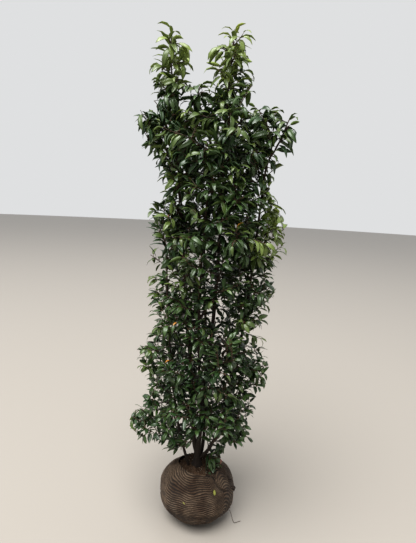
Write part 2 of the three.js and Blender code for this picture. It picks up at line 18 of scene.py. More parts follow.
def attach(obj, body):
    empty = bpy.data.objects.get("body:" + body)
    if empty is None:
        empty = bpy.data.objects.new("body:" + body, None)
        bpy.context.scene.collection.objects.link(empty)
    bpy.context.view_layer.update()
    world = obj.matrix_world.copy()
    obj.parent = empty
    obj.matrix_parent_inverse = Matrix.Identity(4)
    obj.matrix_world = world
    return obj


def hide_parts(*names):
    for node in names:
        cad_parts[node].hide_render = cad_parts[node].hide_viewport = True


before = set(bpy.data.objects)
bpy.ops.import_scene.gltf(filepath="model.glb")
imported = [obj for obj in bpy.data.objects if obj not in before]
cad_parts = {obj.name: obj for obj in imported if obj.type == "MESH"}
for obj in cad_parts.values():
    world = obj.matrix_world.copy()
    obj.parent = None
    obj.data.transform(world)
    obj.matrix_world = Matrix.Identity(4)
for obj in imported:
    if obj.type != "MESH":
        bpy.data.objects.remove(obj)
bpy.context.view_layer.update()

bl_info = {
    "name": "Columnar laurel shrub",
    "version": (1, 0, 0),
    "blender": (4, 5, 0),
    "location": "View3D > Sidebar > Laurel",
    "description": "Gives the packed laurel shrub its bark, twigs, leaves, wrap and soil",
    "category": "Add Mesh",
}

MM = 0.001
UP = np.array((0.0, 0.0, 1.0))
FULL_TURN = 2 * math.pi
GOLDEN_TURN = math.pi * (3 - math.sqrt(5))

# The photograph's frame in pixels, and the camera that took it.
IMAGE_SIZE = (416, 543)
FOCAL_PIXELS = 392
SENSOR_MM = 36
CAMERA_PLACE = (0, -1.80, 1.54)
CAMERA_PITCH = math.radians(9.2)
CAMERA_ROLL = math.radians(3.0)

# The root ball, as in the source: the bag's outline, its opening and its soil.
BALL_RADIUS = 184
BALL_FOOT_ANGLE = math.radians(-57)
BALL_SHOULDER_ANGLE = math.radians(48)
BALL_SHOULDER_HEIGHT = 258
BALL_SQUARENESS = 0.8
RIM_RADIUS = 101
RIM_HEIGHT = 281
LIP_DROP = 4
WRAP_THICKNESS = 4
SOIL_LEVEL = 262
SOIL_SEAT_RADIUS = 74
SOIL_SLOPE = 14
GAP = 0.3

# How the ball has settled, as in the source: bulges as shares of the radius, and the rim's rise.
BALL_LEAN = (0.014, 0.4)
BALL_OVAL = (0.014, 1.1)
BALL_LUMPS = (0.009, 5, 60)
BALL_LOOSE = (4, 110)
RIM_LIFT = (9, 2.3)
RIM_WAVE = (4, 0.6)
RIM_RADII = (82, 112)
RIM_HEIGHTS = (180, 275)

# In the looks alone, the rim sags and is drawn in at the back, and the foot is rounder.
BACK_TURN = (1.85, 1.1)
BACK_SAG = 40
BACK_PULL = 0.13
FOOT_PULL = 0.2
FOOT_HEIGHTS = (-10, 90)

# Stems and boughs, as in the source: the tube's sides, radius at foot and tip, and places from the foot up.
LIMBS = {
    "trunk": (26, (15.5, 4), [
        (-8, 0, 232), (-1, -2, 420), (18, -6, 713), (40, -8, 1115), (46, -5, 1579), (42, 0, 1900)]),
    "left_leader": (22, (12.5, 4), [
        (-8, 4, 318), (-27, 9, 400), (-55, 14, 709), (-96, 10, 1107), (-137, 4, 1524), (-168, 0, 1830),
        (-177, 0, 1900)]),
    "right_stem": (18, (9, 3.6), [
        (4, -2, 296), (53, -14, 364), (103, -26, 508), (150, -38, 760), (188, -40, 1120), (212, -28, 1450),
        (232, -14, 1720), (268, -10, 1808)]),
    "left_stem": (16, (7.5, 3.6), [
        (-38, -8, 232), (-76, -16, 360), (-104, -24, 470), (-146, -34, 760), (-178, -38, 1080),
        (-192, -30, 1330)]),
    "back_stem": (18, (9.5, 3.8), [
        (8, 38, 232), (24, 78, 420), (14, 122, 800), (-18, 146, 1200), (-26, 138, 1500), (-14, 112, 1690)]),
    "front_bough": (16, (8, 3.6), [
        (6, -4, 500), (-4, -62, 640), (-24, -112, 930), (-30, -132, 1260), (-18, -118, 1590)]),
    "left_upper_bough": (12, (5, 3.2), [
        (-142, 4, 1560), (-166, -8, 1672), (-200, -14, 1756), (-236, -14, 1824)]),
    "middle_bough": (12, (5.5, 3.2), [
        (44, -4, 1600), (12, -22, 1730), (-30, -26, 1850), (-52, -24, 1912)]),
    "right_upper_bough": (12, (5.5, 3.2), [
        (46, -4, 1500), (88, 18, 1610), (146, 26, 1740), (188, 16, 1812)]),
}
LIMB_MARKS = 60
LIMB_TAPER = 0.9
TRUNK_FLARE = 14
FLARE_RIDGE = 0.22
FLARE_TURN = 0.6
FLARE_FALL = 26

# The crown's reach from its axis at each height: left, right, front and back.
CROWN_OUTLINE = np.array([
    (225, 60, 110, 70, 70),
    (300, 130, 150, 120, 130),
    (345, 215, 190, 165, 180),
    (415, 285, 268, 215, 230),
    (490, 360, 284, 262, 262),
    (565, 326, 258, 286, 284),
    (700, 280, 284, 270, 300),
    (810, 312, 334, 292, 296),
    (960, 284, 294, 306, 274),
    (1140, 264, 314, 276, 292),
    (1300, 266, 332, 288, 304),
    (1400, 294, 346, 300, 284),
    (1530, 264, 340, 274, 270),
    (1630, 250, 250, 262, 282),
    (1730, 262, 284, 246, 256),
    (1860, 300, 330, 226, 222),
    (1960, 316, 340, 170, 176),
], float)

# Rows of foliage: where each row's stems leave their limbs, its middle, and their tops.
ROWS = [(372, 450, 560), (632, 770, 880), (958, 1095, 1205), (1284, 1420, 1535), (1604, 1735, 1840)]
ROW_STEM_REACH = 0.6
ROW_STEM_MIDDLE = (0.6, 30)
ROW_TWIGS = 5
ROW_CEILING = 1975
ROW_TWIST = 0.2
SITE_REACH = 150
STEM_MARKS = 13

# The column's sides: direction, lift of its rows, lean of their stems, lowest leaf, and the limb of each row.
SIDES = {
    "left": (math.pi, -20, -0.45, 308, ["left_stem"] * 3 + ["left_leader"] * 2),
    "front": (-math.pi / 2, 95, 0.5, 424, ["trunk"] + ["front_bough"] * 3 + ["middle_bough"]),
    "right": (0.0, 15, 0.5, 226, ["right_stem"] * 5),
    "back": (math.pi / 2, 85, -0.5, 322, ["back_stem"] * 5),
}

# Shoots above the column: limb, onward path, site, twigs, their length, reach about the stem, ceiling, and
# how far apart the finer shoots of the looks are.
TOPS = {
    "left_leader_top": (
        "left_leader", [(-188, 0, 2010), (-202, 2, 2120), (-208, 3, 2210), (-207, 3, 2272)],
        (-196, 2, 2100), 9, 62, 112, 2336, 66),
    "right_leader_top": (
        "trunk", [(45, 2, 2020), (52, 4, 2130), (56, 4, 2225), (55, 4, 2286)],
        (50, 3, 2100), 12, 70, 124, 2340, 62),
    "middle_top": (
        "middle_bough", [(-68, -22, 1960), (-84, -20, 2008), (-72, -20, 2060)],
        (-76, -22, 2010), 5, 55, 96, 2088, 60),
    "left_shoot": (
        "left_upper_bough", [(-256, -14, 1862), (-272, -14, 1892), (-281, -14, 1926)],
        (-268, -14, 1900), 4, 42, 66, 1968, 46),
    "right_inner_shoot": (
        "right_upper_bough", [(204, 12, 1862), (212, 10, 1930), (232, 8, 1972)],
        (206, 16, 1912), 5, 44, 72, 2008, 60),
    "right_outer_shoot": (
        "right_stem", [(290, -10, 1856), (308, -12, 1910), (320, -12, 1942)],
        (300, -14, 1886), 5, 42, 62, 1972, 74),
}
TOP_FLOOR = 1500
TOPS_ABOVE = 1780
TIP_STRAIGHT = 16
LEADER_REACH = 100

# Twigs, as in the source.
FIRST_SEED = 104
TWIG_LONGEST = 185
TWIG_SHORTEST = 26
TWIG_RISE = (0.8, 0.06)
TWIG_RISE_VARIES = 0.18
TWIG_TURN_VARIES = 0.7
TWIG_PLACES = (0.16, 0.93)
TWIG_LIFT = 0.06
TWIG_MARGIN = 8
TWIG_TRIES = 5
ROOM_STEP = 8
FREE_STEPS = 3

# The finer shoots of the looks: the places thrown for their ends, how dense they stand, and their lines.
FILL_SPREAD = (360, 330, 220)
FILL_THROWS = 4320
FILL_PLACES = 360
FILL_INSIDE = 4
FILL_SPACING = 36.5
FILL_MOST = 60
FILL_NEAR = 520
FILL_LENGTHS = (34, 150)
FILL_SHARES = (0.25, 0.4, 0.55, 0.7, 0.85, 0.97)
FINE_MARGIN = -10
SHOOT_ROOM = 0.8
SHOOT_TRIES = 4
SHOOT_BOW = 0.2
SHOOT_BENDS = (-0.6, 1.8)
LEVEL_COST = (1.3, 0.4)
BACKWARD_COST = (0.8, 0.2)
NEXT_SHARE = 0.9
CLUMP_MM = 120
CLUMP_WEIGHTS = (0.86, 0.8)
INNER_WEIGHTS = (0.62, 0.48, 0.2, 0.75)
CROWN_WEIGHTS = ([850, 1000, 1300, 1450, 1740, 1840, 1975], [1, 0.9, 0.9, 0.95, 0.92, 0.7, 0.66])
TOP_WEIGHTS = (1.45, 0.66)
TOP_THINS = (1950, 2120)
TOP_DOME = 0.42
STEM_RADII = (4.4, 2.3)
TWIG_RADII = (2.5, 1.5)
SHOOT_RADII = (1.7, 1.0)

# The crown's ragged outline: single sprays that stand out, by side in degrees and height.
CROWN_RADIUS = 300
RAGGED_MM = 85
RAGGED_SHARES = (0.5, 0.95)
SHOOT_REACH = (0.74, 1.0)
STANDING_MM = 46
STANDING = [
    (180, 518), (180, 866), (188, 1161), (0, 422), (-8, 609), (0, 780), (8, 1194), (0, 1420), (5, 1544),
    (0, 1640), (5, 1740), (176, 1290), (-70, 980), (-110, 1330), (75, 1290), (110, 700), (60, 930),
]

# The crown's lower edge from left to right, its rise to the front, and one low spray at the right front.
SKIRT_PLACES = (-250, -80, -35, 45, 110, 250)
SKIRT_HEIGHTS = (338, 340, 402, 408, 380, 375)
SKIRT_RISE = 0.58
SKIRT_MM = 48
SKIRT_RAGGED = 66
LOW_SPRAY = (40, 120, -110, 60, 232)

# The dark cleft down the crown's front, where the stems show: its middle at each height, and half its width.
CLEFT = ([350, 500, 600, 800, 1100, 1300, 1500], [10, 80, 105, 95, 62, 45, 40])
CLEFT_HALF = 20
CLEFT_VARIES = (0.7, 1.4)
CLEFT_FRONT = -40
CLEFT_MM = 70

# Leaves along the shoots: where they start on stems of a top and a row, on twigs and on finer shoots.
LEAVES_FROM = {"top": 0.02, "row": 0.25, "twig": 0.16, "fine": 0.14}
LEAF_SPACING = 9.2
LEAF_TRIES = 6
LEAF_MARGIN = -30
LEAF_REACH = 1.07
LEAF_BOX = ((-349, 355), (-303, 280), 2334)
LEAF_SIZES = (0.58, 1)
LEAF_WIDTHS = (1.22, 0.84)
LEAF_SIZE_HEIGHTS = (700, 2100)
LEAF_SIZE_VARIES = (0.78, 1.16)
TIP_LEAVES = (0.75, 1.0)
LEAF_WIDTH_VARIES = (0.88, 1.14)
TIP_LEAF_SMALLER = 0.25
LEAF_ROLL = 0.5
LEAF_LIFT = (-0.45, 0.45)
LEAF_LIFT_ENDS = (-0.7, 0.2)
LEAF_LIFT_HEIGHTS = (520, 1750)
LEAF_ONWARD = (0.55, 1.5)
LEAF_ASIDE = 0.9
LEAF_ASIDE_FLAT = np.array((1, 1, 0.6))
PETIOLE_LENGTH = (6, 12)

# Each kind of blade: how far it arches, waves and bends sideways. High up, the flatter kinds droop too.
LEAF_SHAPES = [
    (0.55, 0.03, 0.04), (0.85, 0.05, -0.07), (1.15, 0.035, 0.0), (1.45, 0.05, 0.08), (1.75, 0.03, -0.05),
    (1.0, 0.06, 0.03),
]
DROOPING = {0: 4, 1: 3}
DROOPS_ABOVE = 1650
BLADE_WIDTH = 0.497
BLADE_ENDS = (0.6, 0.92)
BLADE_FOLD = 0.4
BLADE_CURL = 0.22
BLADE_WAVES = 2.3
BLADE_RIPPLE = 2.2
BLADE_THICKNESS = 0.008
BLADE_ROWS = 5
BLADE_STRIPS = (-1, -0.55, -0.055, 0.055, 0.55, 1)

# How young a spray looks: what each cause adds, and how much is enough for each younger tint. The low term
# gives low sprays an older, darker tint as painted shade, and the outer term gives outer sprays a younger,
# lighter tint as painted light.
LOW_PAINTED_SHADE = (-0.08, 0.05)
LOW_SHADE_HEIGHTS = (500, 1400)
OUTER_PAINTED_LIGHT = 0.08
OUTER_LIGHT_SHARES = (0.55, 0.95)
HIGH_YOUTH = 0.05
HIGH_HEIGHTS = (1500, 2050)
TOP_YOUTH = 0.44
TOP_HEIGHTS = (2060, 2230)
TIP_YOUTH = 0.16
TIP_SHARES = (0.6, 1.0)
YOUTH_VARIES = (-0.14, 0.22)
BRIGHT_SPRAYS = (0.45, 285, 70, 1470, 130)
YOUTH_TINTS = [(0.85, "fresh"), (0.6, "young_b"), (0.42, "young_a"), (0.3, "mid_b"), (0.2, "mid_a")]
# Sprays further in than this share take the dark inner tint: painted shade inside the crown.
INNER_SHADE_SHARE = 0.56
TOP_SHARE = 0.9

# A few turning leaves, smaller, each nearest to a place across and up the crown's front.
TURNING = {"yellow": [(-113, 1048), (84, 1477), (-150, 905)], "rust": [(-219, 1516), (111, 373)]}
TURNING_SIZE = 0.66


def linear(hex_colour):
    """An sRGB hex colour as linear red, green, blue and full alpha."""
    parts = [int(hex_colour[i:i + 2], 16) / 255 for i in (1, 3, 5)]
    return (*[c / 12.92 if c <= 0.04045 else ((c + 0.055) / 1.055) ** 2.4 for c in parts], 1.0)


def lerp(a, b, share):
    return a + (b - a) * share


def smooth(value, low, high):
    """0 below low, 1 above high, and a smooth step between."""
    share = np.clip((value - low) / (high - low), 0, 1)
    return share * share * (3 - 2 * share)


def bump(value, middle, width):
    """1 at the middle, fading away on both sides."""
    return np.exp(-((value - middle) / width) ** 2)


def unit(vector):
    return vector / max(float(np.linalg.norm(vector)), 1e-9)


def turned_about(vector, axis, angle):
    """The vector turned about a unit axis."""
    along = axis * float(axis @ vector)
    return along + (vector - along) * math.cos(angle) + np.cross(axis, vector) * math.sin(angle)


def apart(points, others):
    """How far each point is from each of the others."""
    return np.linalg.norm(points[:, None] - others[None], axis=2)


def line_length(points):
    return max(float(np.linalg.norm(np.diff(points, axis=0), axis=1).sum()), 1e-9)


def lengths_along(points):
    """How far along its line each point is."""
    return np.concatenate([[0], np.cumsum(np.linalg.norm(np.diff(points, axis=0), axis=1))])


def noise_at(*place):
    """Smooth noise from -1 to 1."""
    return noise.noise(Vector(place))


def seeded_random(seed):
    """The source's repeatable numbers from 0 to 1."""
    mask = 0xFFFFFFFF
    state = seed & mask

    def draw():
        nonlocal state
        state = (state + 0x6D2B79F5) & mask
        mixed = ((state ^ (state >> 15)) * (state | 1)) & mask
        mixed ^= (mixed + (((mixed ^ (mixed >> 7)) * (mixed | 61)) & mask)) & mask
        return ((mixed ^ (mixed >> 14)) & mask) / 4294967296

    return draw


def through(points, shares):
    """Places on a smooth curve through the points, at shares of the way along it."""
    points = np.asarray(points, float)
    wide = np.vstack([2 * points[0] - points[1], points, 2 * points[-1] - points[-2]])
    place = np.clip(np.atleast_1d(shares), 0, 1) * (len(points) - 1)
    first = np.minimum(place.astype(int), len(points) - 2)
    t = (place - first)[:, None]
    before, start, end, after = (wide[first + k] for k in range(4))
    leave, arrive = (end - before) / 2, (after - start) / 2
    return (
        (2 * start - 2 * end + leave + arrive) * t ** 3
        + (3 * end - 3 * start - 2 * leave - arrive) * t ** 2
        + leave * t + start
    )


# Materials.

RGBA = {"data_type": "RGBA"}
MIX_A, MIX_B, MIX_RESULT = 6, 7, 2


def add_node(tree, kind, output, settings=None, links=None):
    """Adds a shader node, sets its properties and sockets, links sockets to it, and gives its output."""
    node = tree.nodes.new("ShaderNode" + kind)
    for key, value in (settings or {}).items():
        if isinstance(key, str) and hasattr(node, key):
            setattr(node, key, value)
        else:
            node.inputs[key].default_value = value
    for key, socket in (links or {}).items():
        tree.links.new(socket, node.inputs[key])
    return None if output is None else node.outputs[output]


def new_material(name):
    """An empty material and its tree."""
    material = bpy.data.materials.new(name)
    material.use_nodes = True
    material.node_tree.nodes.clear()
    return material, material.node_tree


def finish_material(tree, settings, links, relief=None):
    """Closes a material with its shader. Relief is its strength, its depth in metres and its height."""
    if relief:
        strength, depth, height = relief
        links["Normal"] = add_node(
            tree, "Bump", "Normal", {"Strength": strength, "Distance": depth}, {"Height": height})
    shader = add_node(tree, "BsdfPrincipled", "BSDF", settings, links)
    add_node(tree, "OutputMaterial", None, None, {"Surface": shader})


def skin_material(name, colour, grain_mm, roughness=0.6, contrast=0.3, waxed=False):
    """A natural skin with a soft mottle. Matt: leaf underside, midrib, stalk, shoot, root, crumb or thread.

    Waxed: the upper side of a laurel leaf, leathery, dark and glossy, which mirrors a pale sky.
    """
    material, tree = new_material(name)
    place = add_node(tree, "TexCoord", "Object")
    mottle = add_node(
        tree, "TexNoise", "Fac", {"Scale": 1 / (grain_mm * MM), "Detail": 2 if waxed else 3},
        {"Vector": place})
    dark = (*[c * (1 - contrast) for c in colour[:3]], 1)
    light = (*[min(c * (1 + contrast), 1) for c in colour[:3]], 1)
    tint = add_node(tree, "Mix", MIX_RESULT, {**RGBA, MIX_A: dark, MIX_B: light}, {0: mottle})
    skin = {"Roughness": roughness, "IOR": 1.45}
    relief = None
    if waxed:
        skin.update({"Coat Weight": 0.45, "Coat Roughness": 0.2, "Coat IOR": 1.45})
        veins = add_node(tree, "TexNoise", "Fac", {"Scale": 1 / (3.5 * MM), "Detail": 2}, {"Vector": place})
        relief = (0.25, 0.6 * MM, veins)
    finish_material(tree, skin, {"Base Color": tint}, relief)
    return material


def bark_material(settings):
    """Laurel bark: dull grey-brown cork at the foot, darker there partly as painted shade under the crown,
    smoother and redder up the stem, with pale pores.
    """
    material, tree = new_material("laurel_bark")
    place = add_node(tree, "TexCoord", "Object")
    long_grain = add_node(tree, "Mapping", "Vector", {"Scale": (1, 1, 0.16)}, {"Vector": place})
    cross_grain = add_node(tree, "Mapping", "Vector", {"Scale": (1, 1, 3.2)}, {"Vector": place})
    cracks = add_node(
        tree, "TexNoise", "Fac", {"Scale": 1 / (3.2 * MM), "Detail": 5}, {"Vector": long_grain})
    stains = add_node(tree, "TexNoise", "Fac", {"Scale": 1 / (35 * MM), "Detail": 3}, {"Vector": place})
    pores = add_node(tree, "TexVoronoi", "Distance", {"Scale": 1 / (6.5 * MM)}, {"Vector": cross_grain})
    pore_mask = add_node(tree, "MapRange", "Result", {"From Min": 0.16, "From Max": 0.05}, {"Value": pores})
    height = add_node(tree, "SeparateXYZ", "Z", None, {"Vector": place})
    age_and_shade = add_node(tree, "MapRange", "Result", {"From Min": 0.45, "From Max": 1.5}, {"Value": height})
    ground = add_node(
        tree, "Mix", MIX_RESULT, {**RGBA, MIX_A: settings.old_bark_and_shade, MIX_B: settings.young_bark}, {0: age_and_shade})
    shade = add_node(
        tree, "Mix", MIX_RESULT, {**RGBA, "blend_type": "MULTIPLY", 0: 0.75}, {MIX_A: ground, MIX_B: cracks})
    stained = add_node(
        tree, "Mix", MIX_RESULT, {**RGBA, MIX_B: settings.bark_crust}, {0: stains, MIX_A: shade})
    pored = add_node(
        tree, "Mix", MIX_RESULT, {**RGBA, MIX_B: settings.bark_pores}, {0: pore_mask, MIX_A: stained})
    finish_material(
        tree, {"Roughness": 0.78, "IOR": 1.5}, {"Base Color": pored}, (0.7, 1.2 * MM, cracks))
    return material


def netting_material(settings):
    """Stretched jute-like netting: fuzzy matt strands, pale and dry on their crowns, earth-dark between; the
    paleness of the crowns is partly painted highlight and the dark between partly painted shade.
    """
    material, tree = new_material("jute_netting")
    place = add_node(tree, "TexCoord", "Object")
    ridge = add_node(tree, "Attribute", "Fac", {"attribute_name": "ridge"})
    fibre = add_node(tree, "TexNoise", "Fac", {"Scale": 1 / (2.2 * MM), "Detail": 4}, {"Vector": place})
    stains = add_node(tree, "TexNoise", "Fac", {"Scale": 1 / (60 * MM), "Detail": 4}, {"Vector": place})
    frayed = add_node(tree, "Math", 0, {"operation": "MULTIPLY_ADD", 1: 0.55, 2: -0.27}, {0: fibre})
    # The ridge height sets pale crowns and dark grooves: partly the netting's own colour, partly painted
    # highlight on the crowns and painted shade in the grooves.
    crown = add_node(tree, "Math", 0, {"operation": "ADD"}, {0: ridge, 1: frayed})
    spread = add_node(tree, "MapRange", "Result", {"From Min": 0.0, "From Max": 1.15}, {"Value": crown})
    soaked = add_node(tree, "MapRange", "Result", {"From Min": 0.36, "From Max": 0.64}, {"Value": stains})
    pale = add_node(
        tree, "Mix", MIX_RESULT, {**RGBA, MIX_A: settings.strand, MIX_B: settings.strand_stain}, {0: soaked})
    tint = add_node(tree, "Mix", MIX_RESULT, {**RGBA, MIX_A: settings.groove_earth_and_shade}, {0: spread, MIX_B: pale})
    fuzz = {"Specular IOR Level": 0.25, "Sheen Weight": 0.06, "Sheen Roughness": 0.6}
    finish_material(
        tree, {"Roughness": 0.9, "IOR": 1.5, **fuzz}, {"Base Color": tint}, (0.8, 1.2 * MM, fibre))
    return material


def soil_material(settings):
    """Moist loam: crumbs from near black to warm brown, fully matt."""
    material, tree = new_material("moist_loam")
    place = add_node(tree, "TexCoord", "Object")
    crumbs = add_node(tree, "TexVoronoi", "Distance", {"Scale": 1 / (5 * MM)}, {"Vector": place})
    grains = add_node(tree, "TexNoise", "Fac", {"Scale": 1 / (3 * MM), "Detail": 5}, {"Vector": place})
    tint = add_node(
        tree, "Mix", MIX_RESULT, {**RGBA, MIX_A: settings.soil_dark, MIX_B: settings.soil_light}, {0: grains})
    rough = add_node(tree, "Math", 0, {"operation": "ADD"}, {0: crumbs, 1: grains})
    skin = {"Roughness": 0.95, "IOR": 1.45, "Specular IOR Level": 0.2}
    finish_material(tree, skin, {"Base Color": tint}, (0.9, 3 * MM, rough))
    return material


# Meshes.

class Pattern:
    """A small shape held as arrays, so that many bent or placed copies join into one mesh."""

    def __init__(self, shape):
        shape.verts.index_update()
        shape.verts.ensure_lookup_table()
        self.points = np.array([v.co[:] for v in shape.verts], float)
        self.corners = np.array([v.index for f in shape.faces for v in f.verts], np.int32)
        self.counts = np.array([len(f.verts) for f in shape.faces], np.int32)
        self.slots = np.array([f.material_index for f in shape.faces], np.int32)
        shape.free()


def joined_mesh(name, pattern, copies, smooth_faces=True):
    """One mesh from many copies of a pattern: an array of copy, point and coordinate, in millimetres."""
    copies = (np.asarray(copies, float) * MM).astype(np.float32)
    number, size = copies.shape[:2]
    mesh = bpy.data.meshes.new(name)
    mesh.vertices.add(number * size)
    mesh.vertices.foreach_set("co", copies.ravel())
    corners = pattern.corners[None, :] + np.arange(number, dtype=np.int32)[:, None] * size
    counts = np.tile(pattern.counts, number)
    mesh.loops.add(corners.size)
    mesh.loops.foreach_set("vertex_index", corners.ravel())
    mesh.polygons.add(counts.size)
    starts = np.concatenate([[0], np.cumsum(counts)[:-1]]).astype(np.int32)
    mesh.polygons.foreach_set("loop_start", starts)
    mesh.polygons.foreach_set("material_index", np.tile(pattern.slots, number))
    mesh.polygons.foreach_set("use_smooth", np.full(counts.size, smooth_faces))
    mesh.update(calc_edges=True)
    mesh.validate()
    return mesh


def mesh_of(name, shape, smooth_faces=True):
    """A mesh from a bmesh, which is freed."""
    mesh = bpy.data.meshes.new(name)
    for face in shape.faces:
        face.smooth = smooth_faces
    shape.to_mesh(mesh)
    shape.free()
    return mesh


def points_of(mesh):
    points = np.zeros(len(mesh.vertices) * 3, np.float32)
    mesh.vertices.foreach_get("co", points)
    return points.reshape(-1, 3).astype(float)


def move_points(mesh, points):
    """Moves a mesh's points to places in millimetres."""
    mesh.vertices.foreach_set("co", (points * MM).astype(np.float32).ravel())
    mesh.update()


def add_object(name, data):
    thing = bpy.data.objects.new(name, data)
    bpy.context.scene.collection.objects.link(thing)
    return thing


def add_piece(mesh, slot, nodes, *materials):
    """A finished piece, named as its mesh, that rides on the shrub and stands for the CAD nodes named."""
    piece = add_object(mesh.name, mesh)
    for material in materials:
        mesh.materials.append(material)
    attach(piece, "root")
    if nodes:
        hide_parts(*nodes)


def tube_pattern(sides, steps):
    """A closed tube of radius 1 from z 0 to z 1, ringed along its length."""
    shape = bmesh.new()
    bmesh.ops.create_cone(
        shape, cap_ends=True, cap_tris=False, segments=sides, radius1=1, radius2=1, depth=1,
        matrix=Matrix.Translation((0, 0, 0.5)),
    )
    upright = [e for e in shape.edges if abs(e.verts[0].co.z - e.verts[1].co.z) > 0.5]
    if steps > 1:
        bmesh.ops.subdivide_edges(shape, edges=upright, cuts=steps - 1, use_grid_fill=True)
    return Pattern(shape)


def along_line(points, shares):
    """Place, direction and two square sides at shares of a line's length."""
    marks = lengths_along(points) / line_length(points)
    tangent = np.gradient(points, marks, axis=0)
    place, direction = (
        np.stack([np.interp(shares, marks, line[:, k]) for k in range(3)], axis=1)
        for line in (points, tangent)
    )
    direction /= np.linalg.norm(direction, axis=1, keepdims=True)
    side = np.array((1.0, 0, 0)) - direction * direction[:, :1]
    flat = np.linalg.norm(side, axis=1) < 0.2
    side[flat] = np.array((0, 1.0, 0)) - direction[flat] * direction[flat, 1:2]
    side /= np.linalg.norm(side, axis=1, keepdims=True)
    return place, direction, side, np.cross(direction, side)


def bent_tube(pattern, points, radius_at):
    """The tube pattern's points laid along a line. radius_at(shares, turns) gives the radius."""
    shares = np.clip(pattern.points[:, 2], 0, 1)
    turns = np.arctan2(pattern.points[:, 1], pattern.points[:, 0])
    place, _, side, other = along_line(points, shares)
    radius = radius_at(shares, turns) * np.hypot(pattern.points[:, 0], pattern.points[:, 1])
    return place + side * (radius * np.cos(turns))[:, None] + other * (radius * np.sin(turns))[:, None]


def add_tubes(name, sides, steps, tubes, slot, nodes, material):
    """Many tubes as one piece. Each comes as its line and its radius at foot and tip."""
    pattern = tube_pattern(sides, steps)
    copies = [
        bent_tube(pattern, line, lambda shares, turns: lerp(low, high, shares))
        for line, low, high in tubes
    ]
    add_piece(joined_mesh(name, pattern, copies), slot, nodes, material)


# The crown: limbs, masses and the rule by which twigs and leaves grow.

class Limb:
    """A stem or bough's middle line and radius."""

    def __init__(self, name):
        self.name = name
        self.sides, self.radii, self.path = LIMBS[name]
        self.flare = TRUNK_FLARE if name == "trunk" else 0
        shares = np.linspace(0, 1, LIMB_MARKS + 1)
        self.marks = through(self.path, shares)
        self.mark_radii = self.radius_at(shares, 0 * shares)

    def radius_at(self, share, turn):
        height = np.maximum(through(self.path, share)[:, 2] - SOIL_LEVEL, 0)
        ridge = 1 + FLARE_RIDGE * np.cos(3 * turn + FLARE_TURN)
        foot = self.flare * ridge * np.exp(-height / FLARE_FALL)
        return lerp(*self.radii, share ** LIMB_TAPER) + foot

    def point_at_height(self, height):
        over = int(np.argmax(self.marks[:, 2] >= height))
        low, high = self.marks[max(over - 1, 0)], self.marks[max(over, 1)]
        return lerp(low, high, min(max((height - low[2]) / (high[2] - low[2]), 0), 1))

    def end_direction(self):
        return unit(through(self.path, 1)[0] - through(self.path, 0.9999)[0])


def crown_reach(height):
    return [np.interp(height, CROWN_OUTLINE[:, 0], CROWN_OUTLINE[:, k]) for k in range(1, 5)]


def outward_share(points):
    """How far out points are: 1 on the crown's outline."""
    x, y, z = points.T
    left, right, front, back = crown_reach(z)
    return np.hypot(x / np.where(x < 0, left, right), y / np.where(y < 0, front, back))


def skirt_height(points):
    """The crown's lower edge, which is higher at the front, but for one low spray at the right."""
    x, y = points[:, 0], points[:, 1]
    low = (x > LOW_SPRAY[0]) & (x < LOW_SPRAY[1]) & (y > LOW_SPRAY[2]) & (y < LOW_SPRAY[3])
    ragged = np.array([noise_at(a / SKIRT_MM, b / SKIRT_MM, 0.5) for a, b in zip(x, y)])
    level = np.interp(x, SKIRT_PLACES, SKIRT_HEIGHTS) + SKIRT_RISE * np.maximum(-y, 0) + SKIRT_RAGGED * ragged
    return np.where(low, LOW_SPRAY[4], level)


def ragged_reach(point):
    """How far out shoots reach at a place: some sprays stand out, and some stay back."""
    turn = math.atan2(point[1], point[0])
    around = CROWN_RADIUS / RAGGED_MM
    ragged = noise_at(math.cos(turn) * around, math.sin(turn) * around, point[2] / RAGGED_MM)
    share = min(max(RAGGED_SHARES[0] + RAGGED_SHARES[1] * ragged, 0), 1) ** 2
    for side, height in STANDING:
        off = (turn - math.radians(side) + math.pi) % FULL_TURN - math.pi
        share += math.exp(-((off * CROWN_RADIUS) ** 2 + (point[2] - height) ** 2) / (2 * STANDING_MM ** 2))
    return lerp(*SHOOT_REACH, min(share, 1))


def in_cleft(point):
    """Whether a place is in the dark cleft down the crown's front."""
    ragged = noise_at(1.5, 2.5, point[2] / CLEFT_MM)
    half = CLEFT_HALF * (CLEFT_VARIES[0] + CLEFT_VARIES[1] * ragged)
    deep = point[1] < CLEFT_FRONT and CLEFT[0][0] < point[2] < CLEFT[0][-1]
    return deep and abs(point[0] - np.interp(point[2], *CLEFT)) < half


def stretch_crown(turn, height, share):
    left, right, front, back = crown_reach(height)
    across = left if math.cos(turn) < 0 else right
    depth = front if math.sin(turn) < 0 else back
    return np.array((across * math.cos(turn) * share, depth * math.sin(turn) * share, height))


class Mass:
    """One node's foliage: its stem's line and the space it keeps to. Only a top has a reach."""

    def __init__(self, name, path, site, twigs, longest, reach, floor, ceiling, spacing):
        self.name = name
        self.line = through(path, np.linspace(0, 1, STEM_MARKS))
        self.site = np.array(site, float)
        self.twigs = twigs
        self.longest = longest
        self.reach = reach
        self.floor = floor
        self.ceiling = ceiling
        self.spacing = spacing


def row_masses(limbs):
    """Each row's mass leaves its limb low and reaches out and up towards the outline of its own side."""
    made = []
    for row, (leave, height, end) in enumerate(ROWS):
        for side, (turn, lift, lean, skirt, carriers) in SIDES.items():
            turn += ROW_TWIST if row % 2 else -ROW_TWIST
            foot = limbs[carriers[row]].point_at_height(leave + lift)
            tip = stretch_crown(turn + lean, end + lift, ROW_STEM_REACH)
            middle = lerp(foot, tip, ROW_STEM_MIDDLE[0])
            middle[2] = height + lift - ROW_STEM_MIDDLE[1]
            site = (SITE_REACH * math.cos(turn), SITE_REACH * math.sin(turn), height + lift)
            made.append(Mass(
                f"foliage_{row + 1}_{side}", [foot, middle, tip], site, ROW_TWIGS, TWIG_LONGEST, None,
                skirt if row == 0 else 0, ROW_CEILING, FILL_SPACING,
            ))
    return made


